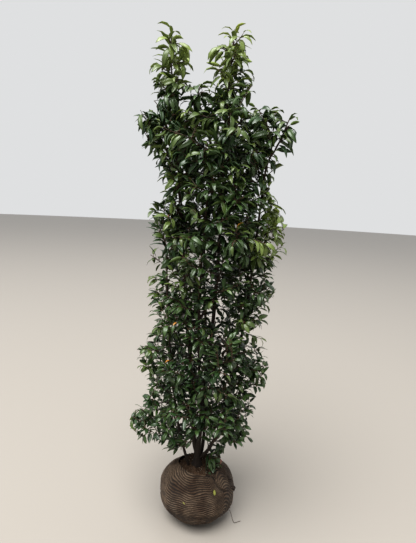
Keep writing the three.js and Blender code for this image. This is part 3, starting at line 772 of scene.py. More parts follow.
def top_masses(limbs):
    """Each top grows on from a limb's tip along its own line."""
    made = []
    for name, (carrier, path, site, twigs, longest, reach, ceiling, spacing) in TOPS.items():
        onward = limbs[carrier].end_direction()
        foot = limbs[carrier].marks[-1] + GAP * onward
        path = [foot, foot + TIP_STRAIGHT * onward, *np.array(path, float)]
        made.append(Mass(name, path, site, twigs, longest, reach, TOP_FLOOR, ceiling, spacing))
    return made


class Shoot:
    """A stem, twig or fine shoot, of order 0, 1 or 2: its line and its radius at each end."""

    def __init__(self, mass, line, radii, order):
        self.mass = mass
        self.line = line
        self.radii = radii
        self.order = order
        self.length = line_length(line)
        self.marks, self.alongs = along_line(line, np.array(FILL_SHARES))[:2]

    def at(self, share):
        place, direction, _, _ = along_line(self.line, np.array([share]))
        return place[0], direction[0]


@dataclass
class Leaf:
    """Where a leaf's stalk leaves its shoot, and its blade's foot, directions, length, width and kind."""

    shoot: Shoot
    share: float
    root: np.ndarray
    foot: np.ndarray
    heading: np.ndarray
    across: np.ndarray
    face: np.ndarray
    size: float
    width: float
    kind: int


def heading_of(turn, rise):
    return np.array((math.cos(turn) * math.cos(rise), math.sin(turn) * math.cos(rise), math.sin(rise)))


def square_to(heading, other, least):
    """A unit direction square to a heading, and level unless the heading is nearly upright."""
    level = np.cross(heading, UP)
    return unit(level if np.linalg.norm(level) > least else other)


class Crown:
    """Grows every mass and keeps the shoots and leaves."""

    def __init__(self, leaf_length):
        self.limbs = {name: Limb(name) for name in LIMBS}
        self.masses = row_masses(self.limbs) + top_masses(self.limbs)
        self.sites = np.array([mass.site for mass in self.masses])
        self.limb_marks = np.vstack([limb.marks for limb in self.limbs.values()])
        self.limb_radii = np.concatenate([limb.mark_radii for limb in self.limbs.values()])
        self.leaf_length = leaf_length
        self.draw = np.random.default_rng(FIRST_SEED)
        self.taken = np.zeros((0, 3))
        self.shoots = []
        self.leaves = []
        for i, mass in enumerate(self.masses):
            mass.number = i
            mass.apart = np.linalg.norm(self.sites - mass.site, axis=1)
            mass.apart[i] = 1
        for mass in self.masses:
            self.grow(mass, seeded_random(FIRST_SEED + mass.number))

    def in_space(self, mass, points, margin, limit=1.0):
        """Which points keep to a mass's space: nearer its site than any other's, and in the crown.

        A leaf's margin is less than 0, and lets it out a little, but not below its floor or above a top.
        """
        height = points[:, 2]
        inward = max(margin, 0)
        kept = height >= mass.floor + inward
        if mass.reach:
            reach = mass.reach - (inward if mass.reach > LEADER_REACH else margin)
            dome = TOP_DOME * np.hypot(*(points - mass.line[-1])[:, :2].T)
            kept &= apart(points, mass.line).min(axis=1) <= reach
            kept &= height <= mass.ceiling - np.maximum(dome, inward)
        else:
            kept &= (height <= mass.ceiling - margin) & (outward_share(points) <= limit)
            if mass.floor:
                kept &= height >= skirt_height(points)
        off = ((self.sites[None] - points[:, None]) ** 2).sum(axis=2)
        spare = (off - off[:, mass.number, None]) / (2 * mass.apart)
        spare[:, mass.number] = np.inf
        if height.max() > TOPS_ABOVE:
            for other in self.masses:
                if other.reach:
                    spare[apart(points, other.line).min(axis=1) > other.reach, other.number] = np.inf
        return kept & (spare > margin + GAP / 2).all(axis=1)

    def clear_of_limbs(self, points, margin):
        return (apart(points, self.limb_marks) - self.limb_radii > margin).all(axis=1)

    def room_along(self, mass, start, heading, longest, margin):
        """How far a shoot can grow before it leaves its mass's space or meets a limb."""
        lengths = np.arange(1, int(longest // ROOM_STEP) + 2) * ROOM_STEP
        points = start + heading * lengths[:, None]
        free = lengths <= (FREE_STEPS + 1) * ROOM_STEP
        good = self.in_space(mass, points, margin) & (free | self.clear_of_limbs(points, TWIG_MARGIN))
        bad = np.flatnonzero(~good)
        return min(lengths[bad[0]] - ROOM_STEP if len(bad) else lengths[-1], longest)

    def add_shoot(self, mass, line, radii, order):
        shoot = Shoot(mass, line, radii, order)
        self.shoots.append(shoot)
        self.taken = np.vstack([self.taken, line[len(line) // 3:]])
        return shoot

    def source_twig(self, mass, start, turn, rise):
        """A twig by the source's rule: it goes one way, and then, where it has no room, another."""
        for i in range(TWIG_TRIES):
            heading = heading_of(turn + i * GOLDEN_TURN, rise)
            length = self.room_along(mass, start, heading, mass.longest, TWIG_MARGIN)
            if length >= TWIG_SHORTEST:
                shares = np.linspace(0, 1, 7)[:, None]
                return start + heading * length * shares + UP * TWIG_LIFT * length * shares ** 2
        return None

    def grow(self, mass, random):
        """One mass: twigs leave its stem turn by turn, finer ones fill the room between, then leaves."""
        stem = self.add_shoot(mass, mass.line, STEM_RADII, 0)
        own = [stem]
        for i in range(mass.twigs):
            share = lerp(*TWIG_PLACES, (i + 0.5) / mass.twigs)
            turn = i * GOLDEN_TURN + TWIG_TURN_VARIES * random()
            rise = lerp(*TWIG_RISE, share) + lerp(-TWIG_RISE_VARIES, TWIG_RISE_VARIES, random())
            line = self.source_twig(mass, stem.at(share)[0], turn, rise)
            if line is not None:
                own.append(self.add_shoot(mass, line, TWIG_RADII, 1))
        self.fill(mass, own)
        for shoot in own:
            self.leaves_along(shoot)

    def open_places(self, mass):
        """Places all through a mass's own space, where finer shoots may end."""
        wide, deep, high = FILL_SPREAD
        spread = np.array([mass.reach or wide, mass.reach or deep, high])
        middle = np.array([mass.line[:, 0].mean() if mass.reach else 0, 0, mass.site[2]])
        places = middle + spread * self.draw.uniform(-1, 1, (FILL_THROWS, 3))
        places = places[self.in_space(mass, places, FILL_INSIDE)][:FILL_PLACES]
        if mass.reach:
            return places
        return places[outward_share(places) <= np.array([ragged_reach(place) for place in places])]

    def fill(self, mass, own):
        """Finer shoots grow, one by one, to whichever open place is furthest from all that has grown."""
        places = self.open_places(mass)
        near = self.taken[np.linalg.norm(self.taken - mass.site, axis=1) < FILL_NEAR]
        room = apart(places, near).min(axis=1)
        least, more = CLUMP_WEIGHTS
        weight = np.array([least + more * noise_at(*(place / CLUMP_MM)) for place in places])
        if mass.reach:
            weight *= lerp(*TOP_WEIGHTS, smooth(places[:, 2], *TOP_THINS))
        else:
            least, more, inner, outer = INNER_WEIGHTS
            weight *= least + more * smooth(outward_share(places), inner, outer)
            weight *= np.interp(places[:, 2], *CROWN_WEIGHTS)
        marks = self.limb_marks[self.in_space(mass, self.limb_marks, 2)]
        for _ in range(FILL_MOST):
            worth = room * weight
            k = int(np.argmax(worth))
            if worth[k] < mass.spacing:
                break
            grown = self.shoot_to(mass, own, marks, places[k])
            if grown is None:
                room[k] = 0
                continue
            line, order = grown
            own.append(self.add_shoot(mass, line, TWIG_RADII if order == 1 else SHOOT_RADII, order))
            room = np.minimum(room, apart(places, line[2:]).min(axis=1))
            room[k] = min(room[k], mass.spacing * NEXT_SHARE)

    def shoot_to(self, mass, own, marks, place):
        """The easiest shoot to a place: short, forward and upward, from a stem, a twig or a bare limb."""
        starts = np.vstack([shoot.marks for shoot in own] + [marks])
        gap = place - starts
        length = np.linalg.norm(gap, axis=1)
        heading = gap / length[:, None]
        onward = [unit(place - mark) for mark in marks]
        alongs = np.vstack([shoot.alongs for shoot in own] + ([onward] if onward else []))
        orders = [min(shoot.order + 1, 2) for shoot in own for _ in FILL_SHARES] + [1] * len(marks)
        level = LEVEL_COST[0] * np.maximum(LEVEL_COST[1] - heading[:, 2], 0)
        backward = BACKWARD_COST[0] * np.maximum(BACKWARD_COST[1] - (heading * alongs).sum(axis=1), 0)
        cost = length * (1 + level + backward)
        cost[length < FILL_LENGTHS[0]] = np.inf
        for k in np.argsort(cost)[:SHOOT_TRIES]:
            if not math.isfinite(cost[k]):
                return None
            longest = min(length[k], FILL_LENGTHS[1])
            room = self.room_along(mass, starts[k], heading[k], longest, FINE_MARGIN)
            if room < SHOOT_ROOM * longest:
                continue
            shares = np.linspace(0, 1, 7)[:, None]
            bow = UP * self.draw.uniform(*SHOOT_BENDS)
            aside = np.cross(heading[k], UP) * self.draw.uniform(-1, 1)
            bend = SHOOT_BOW * (bow + aside) * (shares - shares ** 2)
            return starts[k] + room * (heading[k] * shares + bend), orders[k]
        return None

    def leaves_along(self, shoot):
        """Leaves alternate along a shoot by the golden turn, with a small tuft at its tip."""
        stem = "top" if shoot.mass.reach else "row"
        first = LEAVES_FROM[(stem, "twig", "fine")[shoot.order]]
        count = max(3, int(round(shoot.length * (1 - first) / LEAF_SPACING)) + 1)
        base_turn = self.draw.uniform(0, FULL_TURN)
        for k in range(count):
            self.place_leaf(shoot, lerp(first, 1.0, k / (count - 1)), base_turn + k * GOLDEN_TURN)

    def place_leaf(self, shoot, share, turn):
        """A leaf rises off its shoot, arches over, and is left out where it would leave the crown."""
        draw = self.draw
        root, along = shoot.at(share)
        tip_share = float(smooth(share, *TIP_LEAVES))
        height_share = float(smooth(root[2], *LEAF_SIZE_HEIGHTS))
        size = self.leaf_length * lerp(*LEAF_SIZES, height_share)
        size *= draw.uniform(*LEAF_SIZE_VARIES) * (1 - TIP_LEAF_SMALLER * tip_share)
        width = lerp(*LEAF_WIDTHS, height_share) * draw.uniform(*LEAF_WIDTH_VARIES)
        among = LEAF_LIFT_HEIGHTS[0] < root[2] < LEAF_LIFT_HEIGHTS[1]
        lift = draw.uniform(*(LEAF_LIFT if among else LEAF_LIFT_ENDS))
        roll = draw.normal(0, LEAF_ROLL)
        stalk = draw.uniform(*PETIOLE_LENGTH)
        kind = int(draw.integers(len(LEAF_SHAPES)))
        if root[2] > DROOPS_ABOVE:
            kind = DROOPING.get(kind, kind)
        bend = LEAF_SHAPES[kind][0]
        sideways = square_to(along, np.cross((1.0, 0, 0), along), 0.2)
        onward = lerp(*LEAF_ONWARD, tip_share)
        for i in range(LEAF_TRIES):
            side = turned_about(sideways, along, turn + i * GOLDEN_TURN) * LEAF_ASIDE_FLAT
            heading = unit(along * onward + side * LEAF_ASIDE + UP * lift)
            across = turned_about(square_to(heading, np.cross(heading, (1.0, 0, 0)), 0.1), heading, roll)
            face = unit(np.cross(across, heading))
            if face[2] < 0:
                face, across = -face, -across
            foot = root + heading * stalk
            tip = foot + (heading * math.sin(bend) - face * (1 - math.cos(bend))) * size / bend
            if self.leaf_fits(shoot.mass, foot, tip):
                self.leaves.append(Leaf(shoot, share, root, foot, heading, across, face, size, width, kind))
                return

    def leaf_fits(self, mass, foot, tip):
        (low_x, high_x), (low_y, high_y), high_z = LEAF_BOX
        if not (low_x < tip[0] < high_x and low_y < tip[1] < high_y and tip[2] < high_z):
            return False
        ends = np.array([(foot + tip) / 2, tip])
        inside = self.in_space(mass, ends, LEAF_MARGIN, LEAF_REACH).all()
        return bool(inside and not in_cleft(ends[0]) and self.clear_of_limbs(ends[:1], 1)[0])


@functools.lru_cache(maxsize=1)
def grown_crown():
    return Crown(bpy.context.scene.laurel_leaves.length / MM)


def mass_names(parts):
    """The nodes that shoots or leaves stand for."""
    return sorted({part.mass.name for part in parts})


# Leaves.

def blade_point(share, across, kind, below):
    """A point of a blade of length 1 along +X, face up, arched down to its tip."""
    bend, wave, sickle = LEAF_SHAPES[kind]
    width = BLADE_WIDTH * share ** BLADE_ENDS[0] * (1 - share) ** BLADE_ENDS[1]
    lean, rise = math.sin(bend * share), math.cos(bend * share)
    half = abs(across)
    height = width * (BLADE_FOLD * half - BLADE_CURL * half * half)
    ripple = math.sin(FULL_TURN * BLADE_WAVES * share + kind + (1.7 if across > 0 else 0))
    height += wave * ripple * width * BLADE_RIPPLE * half * half
    height -= below * BLADE_THICKNESS * (1 - half) * math.sin(math.pi * share)
    return Vector((
        lean / bend + lean * height, across * width + sickle * share * share,
        -(1 - rise) / bend + rise * height,
    ))


def leaf_pattern(kind):
    """A closed blade: an upper skin with a narrow midrib, and a plainer underside that shares its edge."""
    shape = bmesh.new()
    under_faces = []
    for below, strips in enumerate((BLADE_STRIPS, (-1, 0, 1))):
        cells = len(strips) - 1
        made = bmesh.ops.create_grid(shape, x_segments=BLADE_ROWS, y_segments=cells, size=0.5)["verts"]
        faces = {face for vert in made for face in vert.link_faces}
        for face in faces:
            middle = abs(face.calc_center_median().y) < 0.05
            face.material_index = 2 if below else int(middle)
        under_faces = [face for face in shape.faces if below and face in faces]
        for vert in made:
            share = (1 - math.cos(math.pi * (vert.co.x + 0.5))) / 2
            vert.co = blade_point(share, strips[int(round((vert.co.y + 0.5) * cells))], kind, below)
    bmesh.ops.reverse_faces(shape, faces=under_faces)
    bmesh.ops.remove_doubles(shape, verts=shape.verts, dist=1e-5)
    bmesh.ops.dissolve_degenerate(shape, edges=shape.edges, dist=1e-6)
    return Pattern(shape)


def tint_of(shoot, share, draw):
    """A spray's tint: young towards the tops, the shoot tips and the bright right-hand sprays, lighter on the
    crown's outside as painted light, and darker low down and inside the crown as painted shade.
    """
    tip = shoot.line[-1]
    high = smooth(tip[2], *HIGH_HEIGHTS)
    bright, x, wide, z, tall = BRIGHT_SPRAYS
    # Low sprays get an older, darker tint: painted shade on the lower crown.
    youth_and_painted_light = lerp(*LOW_PAINTED_SHADE, float(smooth(tip[2], *LOW_SHADE_HEIGHTS)))
    outward = TOP_SHARE if shoot.mass.reach else float(outward_share(tip))
    # Outer sprays get a younger, lighter tint: painted light on the crown's outside.
    if not shoot.mass.reach:
        youth_and_painted_light += OUTER_PAINTED_LIGHT * float(smooth(outward, *OUTER_LIGHT_SHARES))
    youth_and_painted_light += HIGH_YOUTH * high
    youth_and_painted_light += bright * float(np.exp(-(((tip[0] - x) / wide) ** 2 + ((tip[2] - z) / tall) ** 2)))
    if shoot.mass.reach:
        youth_and_painted_light += TOP_YOUTH * float(smooth(tip[2], *TOP_HEIGHTS))
    youth_and_painted_light += draw.uniform(*YOUTH_VARIES)
    youth_and_painted_light += TIP_YOUTH * smooth(share, *TIP_SHARES) * (0.4 + high)
    for least, tint in YOUTH_TINTS:
        if youth_and_painted_light > least:
            return tint
    # Inner sprays take the dark inner tint: painted shade inside the crown.
    if outward < INNER_SHADE_SHARE:
        return "inner"
    return ("deep_a", "deep_b", "deep_c")[int(draw.integers(3))]


def sorted_leaves(names):
    """The crown's leaves by tint. A spray keeps one tint, but for its youngest leaves."""
    crown = grown_crown()
    draw = np.random.default_rng(FIRST_SEED + 1)
    tints = {tint: [] for tint in names}
    spray_seeds = {id(shoot): int(draw.integers(1 << 30)) for shoot in crown.shoots}
    turning = {}
    for tint, places in TURNING.items():
        for x, z in places:
            worth = [
                math.hypot(leaf.foot[0] - x, leaf.foot[2] - z) + 0.8 * leaf.foot[1] for leaf in crown.leaves
            ]
            turning[int(np.argmin(worth))] = tint
    for number, leaf in enumerate(crown.leaves):
        spray = np.random.default_rng(spray_seeds[id(leaf.shoot)])
        tint = turning.get(number) or tint_of(leaf.shoot, leaf.share, spray)
        if number in turning:
            leaf.size *= TURNING_SIZE
        tints[tint].append(leaf)
    return tints


def joined_leaf_mesh(name, leaves):
    """All the leaves of one tint as one mesh: each kind's copies, joined."""
    shape = bmesh.new()
    for kind in range(len(LEAF_SHAPES)):
        chosen = [leaf for leaf in leaves if leaf.kind == kind]
        if not chosen:
            continue
        pattern = leaf_pattern(kind)
        foot = np.array([leaf.foot for leaf in chosen])
        axes = np.array([[leaf.heading, leaf.across, leaf.face] for leaf in chosen])
        size = np.array([leaf.size * np.array((1, leaf.width, 1)) for leaf in chosen])
        points = np.einsum("pk,nkc->npc", pattern.points, axes * size[:, :, None])
        part = joined_mesh(name, pattern, points + foot[:, None, :])
        shape.from_mesh(part)
        bpy.data.meshes.remove(part)
    return mesh_of(name, shape)


def leaf_tints(settings):
    """The colour of each tint, from the old and the young leaf's colours."""
    old, new = np.array(settings.deep[:3]), np.array(settings.young[:3])
    blue = np.array((0.8, 0.98, 1.1))
    mixes = {
        # The inner tint is the old leaf's colour halved: painted shade inside the crown.
        "inner": old * 0.5, "deep_a": old * 0.85, "deep_b": old * blue * 0.75, "deep_c": old * 1.2,
        "mid_a": lerp(old, new, 0.2), "mid_b": lerp(old, new, 0.38), "young_a": lerp(old, new, 0.6),
        "young_b": new, "fresh": new * np.array((1.28, 1.18, 0.85)),
        "yellow": np.array(linear("#a3702a")[:3]), "rust": np.array(linear("#744035")[:3]),
    }
    return {tint: np.clip(colour, 0, 1) for tint, colour in mixes.items()}


# What a user can change.

def colour_setting(name, description, hex_colour):
    return FloatVectorProperty(
        name=name, description=description, default=linear(hex_colour), size=4, subtype="COLOR")


class LaurelWoodSettings(bpy.types.PropertyGroup):
    """Bark and twigs."""

    # The old bark at the foot is darker partly as painted shade under the crown.
    old_bark_and_shade: colour_setting("Old bark", "Bark at the foot", "#3a2f25")
    young_bark: colour_setting("Young bark", "Bark of the upper stems", "#4e3729")
    bark_crust: colour_setting("Crust", "Dark crust on the bark", "#2a2018")
    bark_pores: colour_setting("Pores", "Pale pores of the bark", "#7c6b58")
    relief: FloatProperty(
        name="Relief", description="Depth of the bark's furrows", default=0.0011, unit="LENGTH")
    twig: colour_setting("Twigs", "Skin of the twigs", "#35281e")
    shoot: colour_setting("Shoots", "Skin of this year's shoots", "#3a3020")


class LaurelLeafSettings(bpy.types.PropertyGroup):
    """Leaves."""

    length: FloatProperty(
        name="Leaf length", description="Blade of a full-grown leaf", default=0.080, unit="LENGTH")
    deep: colour_setting("Old leaf", "Last year's leaves", "#2f431d")
    young: colour_setting("Young leaf", "This year's leaves", "#73823c")
    underside: colour_setting("Underside", "What the paler underside adds to a leaf's colour", "#1b2314")
    stalk: colour_setting("Stalk", "Red leaf stalk", "#523524")


class LaurelWrapSettings(bpy.types.PropertyGroup):
    """Root ball wrap."""

    strand_spacing: FloatProperty(
        name="Strand spacing", description="From strand to strand", default=0.0105, unit="LENGTH")
    strand_height: FloatProperty(
        name="Strand height", description="How far a strand stands out", default=0.0040, unit="LENGTH")
    # Strand and groove colours follow the strands' height: partly the netting's own colour, partly painted
    # highlight on the crowns and painted shade in the grooves.
    strand: colour_setting("Strand", "Dry crown of a strand", "#766452")
    strand_stain: colour_setting("Stained strand", "Strand soaked with earth", "#443325")
    groove_earth_and_shade: colour_setting("Groove", "Dark between strands", "#17110d")


class LaurelSoilSettings(bpy.types.PropertyGroup):
    """Soil in the wrap's opening."""

    crumbs: IntProperty(name="Crumbs", description="Loose crumbs of soil", default=640, min=0)
    soil_dark: colour_setting("Wet soil", "Darkest soil", "#241a13")
    soil_light: colour_setting("Dry soil", "Lightest soil", "#6b5543")


class LaurelStageSettings(bpy.types.PropertyGroup):
    """Floor and light."""

    floor: colour_setting("Floor", "Plain pale floor", "#99938b")
    sky: colour_setting("Sky", "Plain soft light all round", "#f2f3f4")
    strength: FloatProperty(name="Light", description="Strength of the light all round", default=0.71, min=0)
    overhead: FloatProperty(
        name="Overhead", description="Power of the soft light overhead", default=4000, unit="POWER")


# Bark, twigs and leaves.

SMOOTHER_FROM = 350
SMOOTHER_OVER = 900
SMOOTHER_BY = 0.6
FURROW_MM = (5, 38)
FURROW_DETAIL = (0.8, 2.1, 3)
KNOT_MM = 55
BARK_STEP = 7.5
BARK_STEPS_LEAST = 12
BARK_BELOW_SOIL = 14
FULL_RELIEF_RADIUS = 12


def bark_relief(point, turn, radius):
    """How far bark stands out at a point, from -1 to 1: long furrows low down, fine rings higher up."""
    rough = 1 - SMOOTHER_BY * min(max((point[2] - SMOOTHER_FROM) / SMOOTHER_OVER, 0), 1)
    across, upward = FURROW_MM
    place = Vector((math.cos(turn) * radius / across, math.sin(turn) * radius / across, point[2] / upward))
    furrow = noise.fractal(place, *FURROW_DETAIL)
    knots = noise.noise(Vector((math.cos(turn), math.sin(turn), point[2] / KNOT_MM)) * 1.3)
    return rough * furrow * 0.8 + 0.9 * knots * (1.2 - 0.5 * rough)


def bark_mesh(limb, relief):
    """A limb's tube with its taper, its root flare and the relief of its bark, from just under the soil."""
    shares_along = np.linspace(0, 1, 121)
    line = through(limb.path, shares_along)
    first = max(int(np.argmax(line[:, 2] > SOIL_LEVEL - BARK_BELOW_SOIL)) - 1, 0)
    line = line[first:]
    lengths = lengths_along(line)
    pattern = tube_pattern(limb.sides, max(BARK_STEPS_LEAST, int(lengths[-1] / BARK_STEP)))

    def radius_at(shares, turns):
        path_shares = np.interp(shares, lengths / lengths[-1], shares_along[first:])
        radii = limb.radius_at(path_shares, turns)
        places = through(limb.path, path_shares)
        bumps = np.array([bark_relief(p, t, r) for p, t, r in zip(places, turns, radii)])
        return radii + relief / MM * bumps * np.clip(radii / FULL_RELIEF_RADIUS, 0.35, 1)

    return joined_mesh(limb.name + "_bark", pattern, [bent_tube(pattern, line, radius_at)])


class LAUREL_OT_bark(bpy.types.Operator):
    """Covers the trunk and each bough with relief bark."""

    bl_idname = "laurel.bark"
    bl_label = "Bark"

    def execute(self, context):
        settings = context.scene.laurel_wood
        material = bark_material(settings)
        for limb in grown_crown().limbs.values():
            add_piece(bark_mesh(limb, settings.relief), "bark", [limb.name], material)
        return {"FINISHED"}


class LAUREL_OT_twigs(bpy.types.Operator):
    """Grows the stems and twigs of every mass of foliage."""

    bl_idname = "laurel.twigs"
    bl_label = "Twigs"

    def execute(self, context):
        settings = context.scene.laurel_wood
        finishes = (
            ("foliage_stems", 8, 14, skin_material("laurel_stem_bark", settings.twig, 3)),
            ("twigs", 6, 7, skin_material("laurel_twig_bark", settings.twig, 3)),
            ("fine_shoots", 5, 6, skin_material("laurel_shoot_skin", settings.shoot, 4)),
        )
        for order, (name, sides, steps, material) in enumerate(finishes):
            chosen = [shoot for shoot in grown_crown().shoots if shoot.order == order]
            tubes = [(shoot.line, *shoot.radii) for shoot in chosen]
            add_tubes(name, sides, steps, tubes, "bark", mass_names(chosen), material)
        return {"FINISHED"}


class LAUREL_OT_leaves(bpy.types.Operator):
    """Hangs the leaves along every twig, each tint as one piece."""

    bl_idname = "laurel.leaves"
    bl_label = "Leaves"

    RIB = (1.4, np.array((0.01, 0.016, 0.002)))
    UNDERSIDE = 1.2

    def execute(self, context):
        settings = context.scene.laurel_leaves
        colours = leaf_tints(settings)
        for tint, leaves in sorted_leaves(colours).items():
            if not leaves:
                continue
            # The inner tint's leaf, midrib and underside colours are darker: painted shade inside the crown.
            colour = colours[tint]
            rib = np.clip(colour * self.RIB[0] + self.RIB[1], 0, 1)
            under = np.clip(colour * self.UNDERSIDE + np.array(settings.underside[:3]), 0, 1)
            materials = (
                skin_material("laurel_leaf_" + tint, colour, 30, 0.45, 0.28, True),
                skin_material("laurel_midrib_" + tint, rib, 5, 0.45, 0.1),
                skin_material("laurel_leaf_underside_" + tint, under, 6, 0.55, 0.15),
            )
            slot = "young_leaf" if tint in ("young_a", "young_b", "fresh") else "leaf"
            nodes = mass_names(leaf.shoot for leaf in leaves)
            add_piece(joined_leaf_mesh("leaves_" + tint, leaves), slot, nodes, *materials)
        return {"FINISHED"}


class LAUREL_OT_stalks(bpy.types.Operator):
    """Joins each leaf to its shoot with its red stalk."""

    bl_idname = "laurel.stalks"
    bl_label = "Leaf stalks"

    RADII = (1.15, 0.8)
    INTO_BLADE = 2

    def execute(self, context):
        leaves = grown_crown().leaves
        ends = [leaf.foot + leaf.heading * self.INTO_BLADE for leaf in leaves]
        tubes = [(np.array([leaf.root, end]), *self.RADII) for leaf, end in zip(leaves, ends)]
        material = skin_material("laurel_leaf_stalk", context.scene.laurel_leaves.stalk, 5)
        nodes = mass_names(leaf.shoot for leaf in leaves)
        add_tubes("leaf_stalks", 4, 1, tubes, "bark", nodes, material)
        return {"FINISHED"}


# Root ball.

def bag_profile(steps):
    """The bag's outline from the edge of its flat underside up to the lip of its opening, in even steps."""
    rise = BALL_SHOULDER_HEIGHT / (math.sin(BALL_SHOULDER_ANGLE) - math.sin(BALL_FOOT_ANGLE))
    angles = np.linspace(BALL_FOOT_ANGLE, BALL_SHOULDER_ANGLE, 64)
    radius = BALL_RADIUS * np.cos(angles) ** BALL_SQUARENESS
    height = rise * (np.sin(angles) - math.sin(BALL_FOOT_ANGLE))
    lip = [((RIM_RADIUS + radius[-1]) / 2, RIM_HEIGHT - LIP_DROP), (RIM_RADIUS, RIM_HEIGHT)]
    outline = np.vstack([np.stack([radius, height], axis=1), lip])
    lengths = lengths_along(outline)
    even = np.linspace(0, lengths[-1], steps)
    return np.stack([np.interp(even, lengths, outline[:, k]) for k in range(2)], axis=1)


def inset_profile(profile, inset):
    """The same outline moved inwards, square to itself."""
    number = np.arange(len(profile))
    along = profile[np.minimum(number + 1, len(profile) - 1)] - profile[np.maximum(number - 1, 0)]
    along /= np.linalg.norm(along, axis=1, keepdims=True)
    radius = profile[:, 0] - along[:, 1] * inset
    return np.stack([radius, np.maximum(profile[:, 1] + along[:, 0] * inset, inset)], axis=1)


def settled(points):
    """The ball's own unevenness: it leans and bulges, its rim stands up at the left and sags at the back."""
    x, y, height = points.T
    turn = np.arctan2(y, x)
    radius = np.hypot(x, y)
    bulge = BALL_LEAN[0] * np.cos(turn - BALL_LEAN[1]) + BALL_OVAL[0] * np.cos(2 * turn + BALL_OVAL[1])
    bulge += BALL_LUMPS[0] * np.cos(BALL_LUMPS[1] * turn + height / BALL_LUMPS[2])
    back = bump(turn, *BACK_TURN)
    lift = RIM_LIFT[0] * np.cos(turn - RIM_LIFT[1]) + RIM_WAVE[0] * np.cos(3 * turn + RIM_WAVE[1])
    lift = lift - BACK_SAG * back
    raised = smooth(radius, *RIM_RADII) * smooth(height, *RIM_HEIGHTS)
    wide = 1 + smooth(height, *BALL_LOOSE) * bulge - BACK_PULL * back * raised
    wide = wide - FOOT_PULL * (1 - smooth(height, *FOOT_HEIGHTS))
    return np.stack([x * wide, y * wide, height + lift * raised], axis=1)


def spun(profile, steps):
    """A closed bmesh turned from a profile of radius and height that starts and ends on the axis."""
    shape = bmesh.new()
    verts = [shape.verts.new((radius, 0, height)) for radius, height in profile]
    edges = [shape.edges.new(pair) for pair in zip(verts, verts[1:])]
    bmesh.ops.spin(
        shape, geom=verts + edges, cent=(0, 0, 0), axis=(0, 0, 1), angle=FULL_TURN, steps=steps,
        use_merge=True,
    )
    bmesh.ops.remove_doubles(shape, verts=shape.verts, dist=0.01)
    bmesh.ops.recalc_face_normals(shape, faces=shape.faces)
    return shape


# The netting's strands: where they hang and cross over, by turn, and by how much.
SLACK_STARTS = (-3.3, -2.45)
SLACK_ENDS = (-1.15, -0.72)
SLACK_HANG = 88
OVER_STARTS = (-0.70, 0.25)
OVER_ENDS = (0.6, 2.6)
OVER_HANG = 96
HANG_ARC = (30, 250)
# The turns about which strands crowd together, how wide about, and by how much.
CROWDED = ((-0.35, 0.38), (3.45, 0.62))
CROWDED_BY = 0.48
# Each strand: the way up the skin that strands crowd towards, its shape, how it thickens and frays, and
# the thin strands between.
STRAND_LEVEL = 250
STRAND_SHARPNESS = 2.3
STRAND_VARIES = (0.92, 0.6, 0.5)
THIN_STRANDS = 2.37
THIN_HEIGHT = 0.3
HIGHEST_STRAND = 1.15
# How the skin stands: the strand height that is level with it, its lumps, its lip and its flat foot.
GROUND_RIDGE = 0.35
LUMP_HEIGHT = 4.2
LIP_ARC = (300, 345)
FLAT_FOOT = (0.5, 14)
# The fold from the front of the rim down to the gather: way up the skin and turn, then its step and crease.
FOLD = [(230, -0.66), (258, -0.80), (286, -0.84), (314, -0.86), (342, -1.16)]
FOLD_ARC = (215, 262)
FOLD_EDGE = (-2, 6)
FOLD_FALL = 34
CREASE_LINE = (-6, 7.5)
FOLD_RADIUS = 150
FOLD_STEP = 10
FOLD_CREASE = 7
# How much painted shade darkens the netting in the fold's crease.
CREASE_PAINTED_SHADE = 0.6


def strand_rise(turn, up):
    """How far strands hang below or climb above level at a place, in millimetres.

    They hang slack across the front, climb steeply to the collar at the left and to the crease at the
    right front, and run round the back in slow waves.
    """
    slack = smooth(turn, *SLACK_STARTS) * (1 - smooth(turn, *SLACK_ENDS))
    slack = slack + smooth(turn + FULL_TURN, *SLACK_STARTS) * (turn > 2.5)
    over = smooth(turn, *OVER_STARTS) * (1 - smooth(turn, *OVER_ENDS))
    waves = 6 * np.cos(3 * turn + 0.4) + 3 * np.cos(7 * turn + up / 40)
    return (SLACK_HANG * slack + OVER_HANG * over) * smooth(up, *HANG_ARC) + waves * smooth(up, 10, 120)


def fold_height(turn, up):
    """How far the fold's edge stands out over its crease, and how much painted shade darkens the crease."""
    line_turn = through(FOLD, (up - FOLD[0][0]) / (FOLD[-1][0] - FOLD[0][0]))[:, 1]
    off = (turn - line_turn) * FOLD_RADIUS
    near = smooth(up, *FOLD_ARC)
    step = smooth(off, *FOLD_EDGE) * np.exp(-np.maximum(off, 0) / FOLD_FALL) * FOLD_STEP
    crease = near * bump(off, *CREASE_LINE)
    return near * step - FOLD_CREASE * crease, CREASE_PAINTED_SHADE * crease


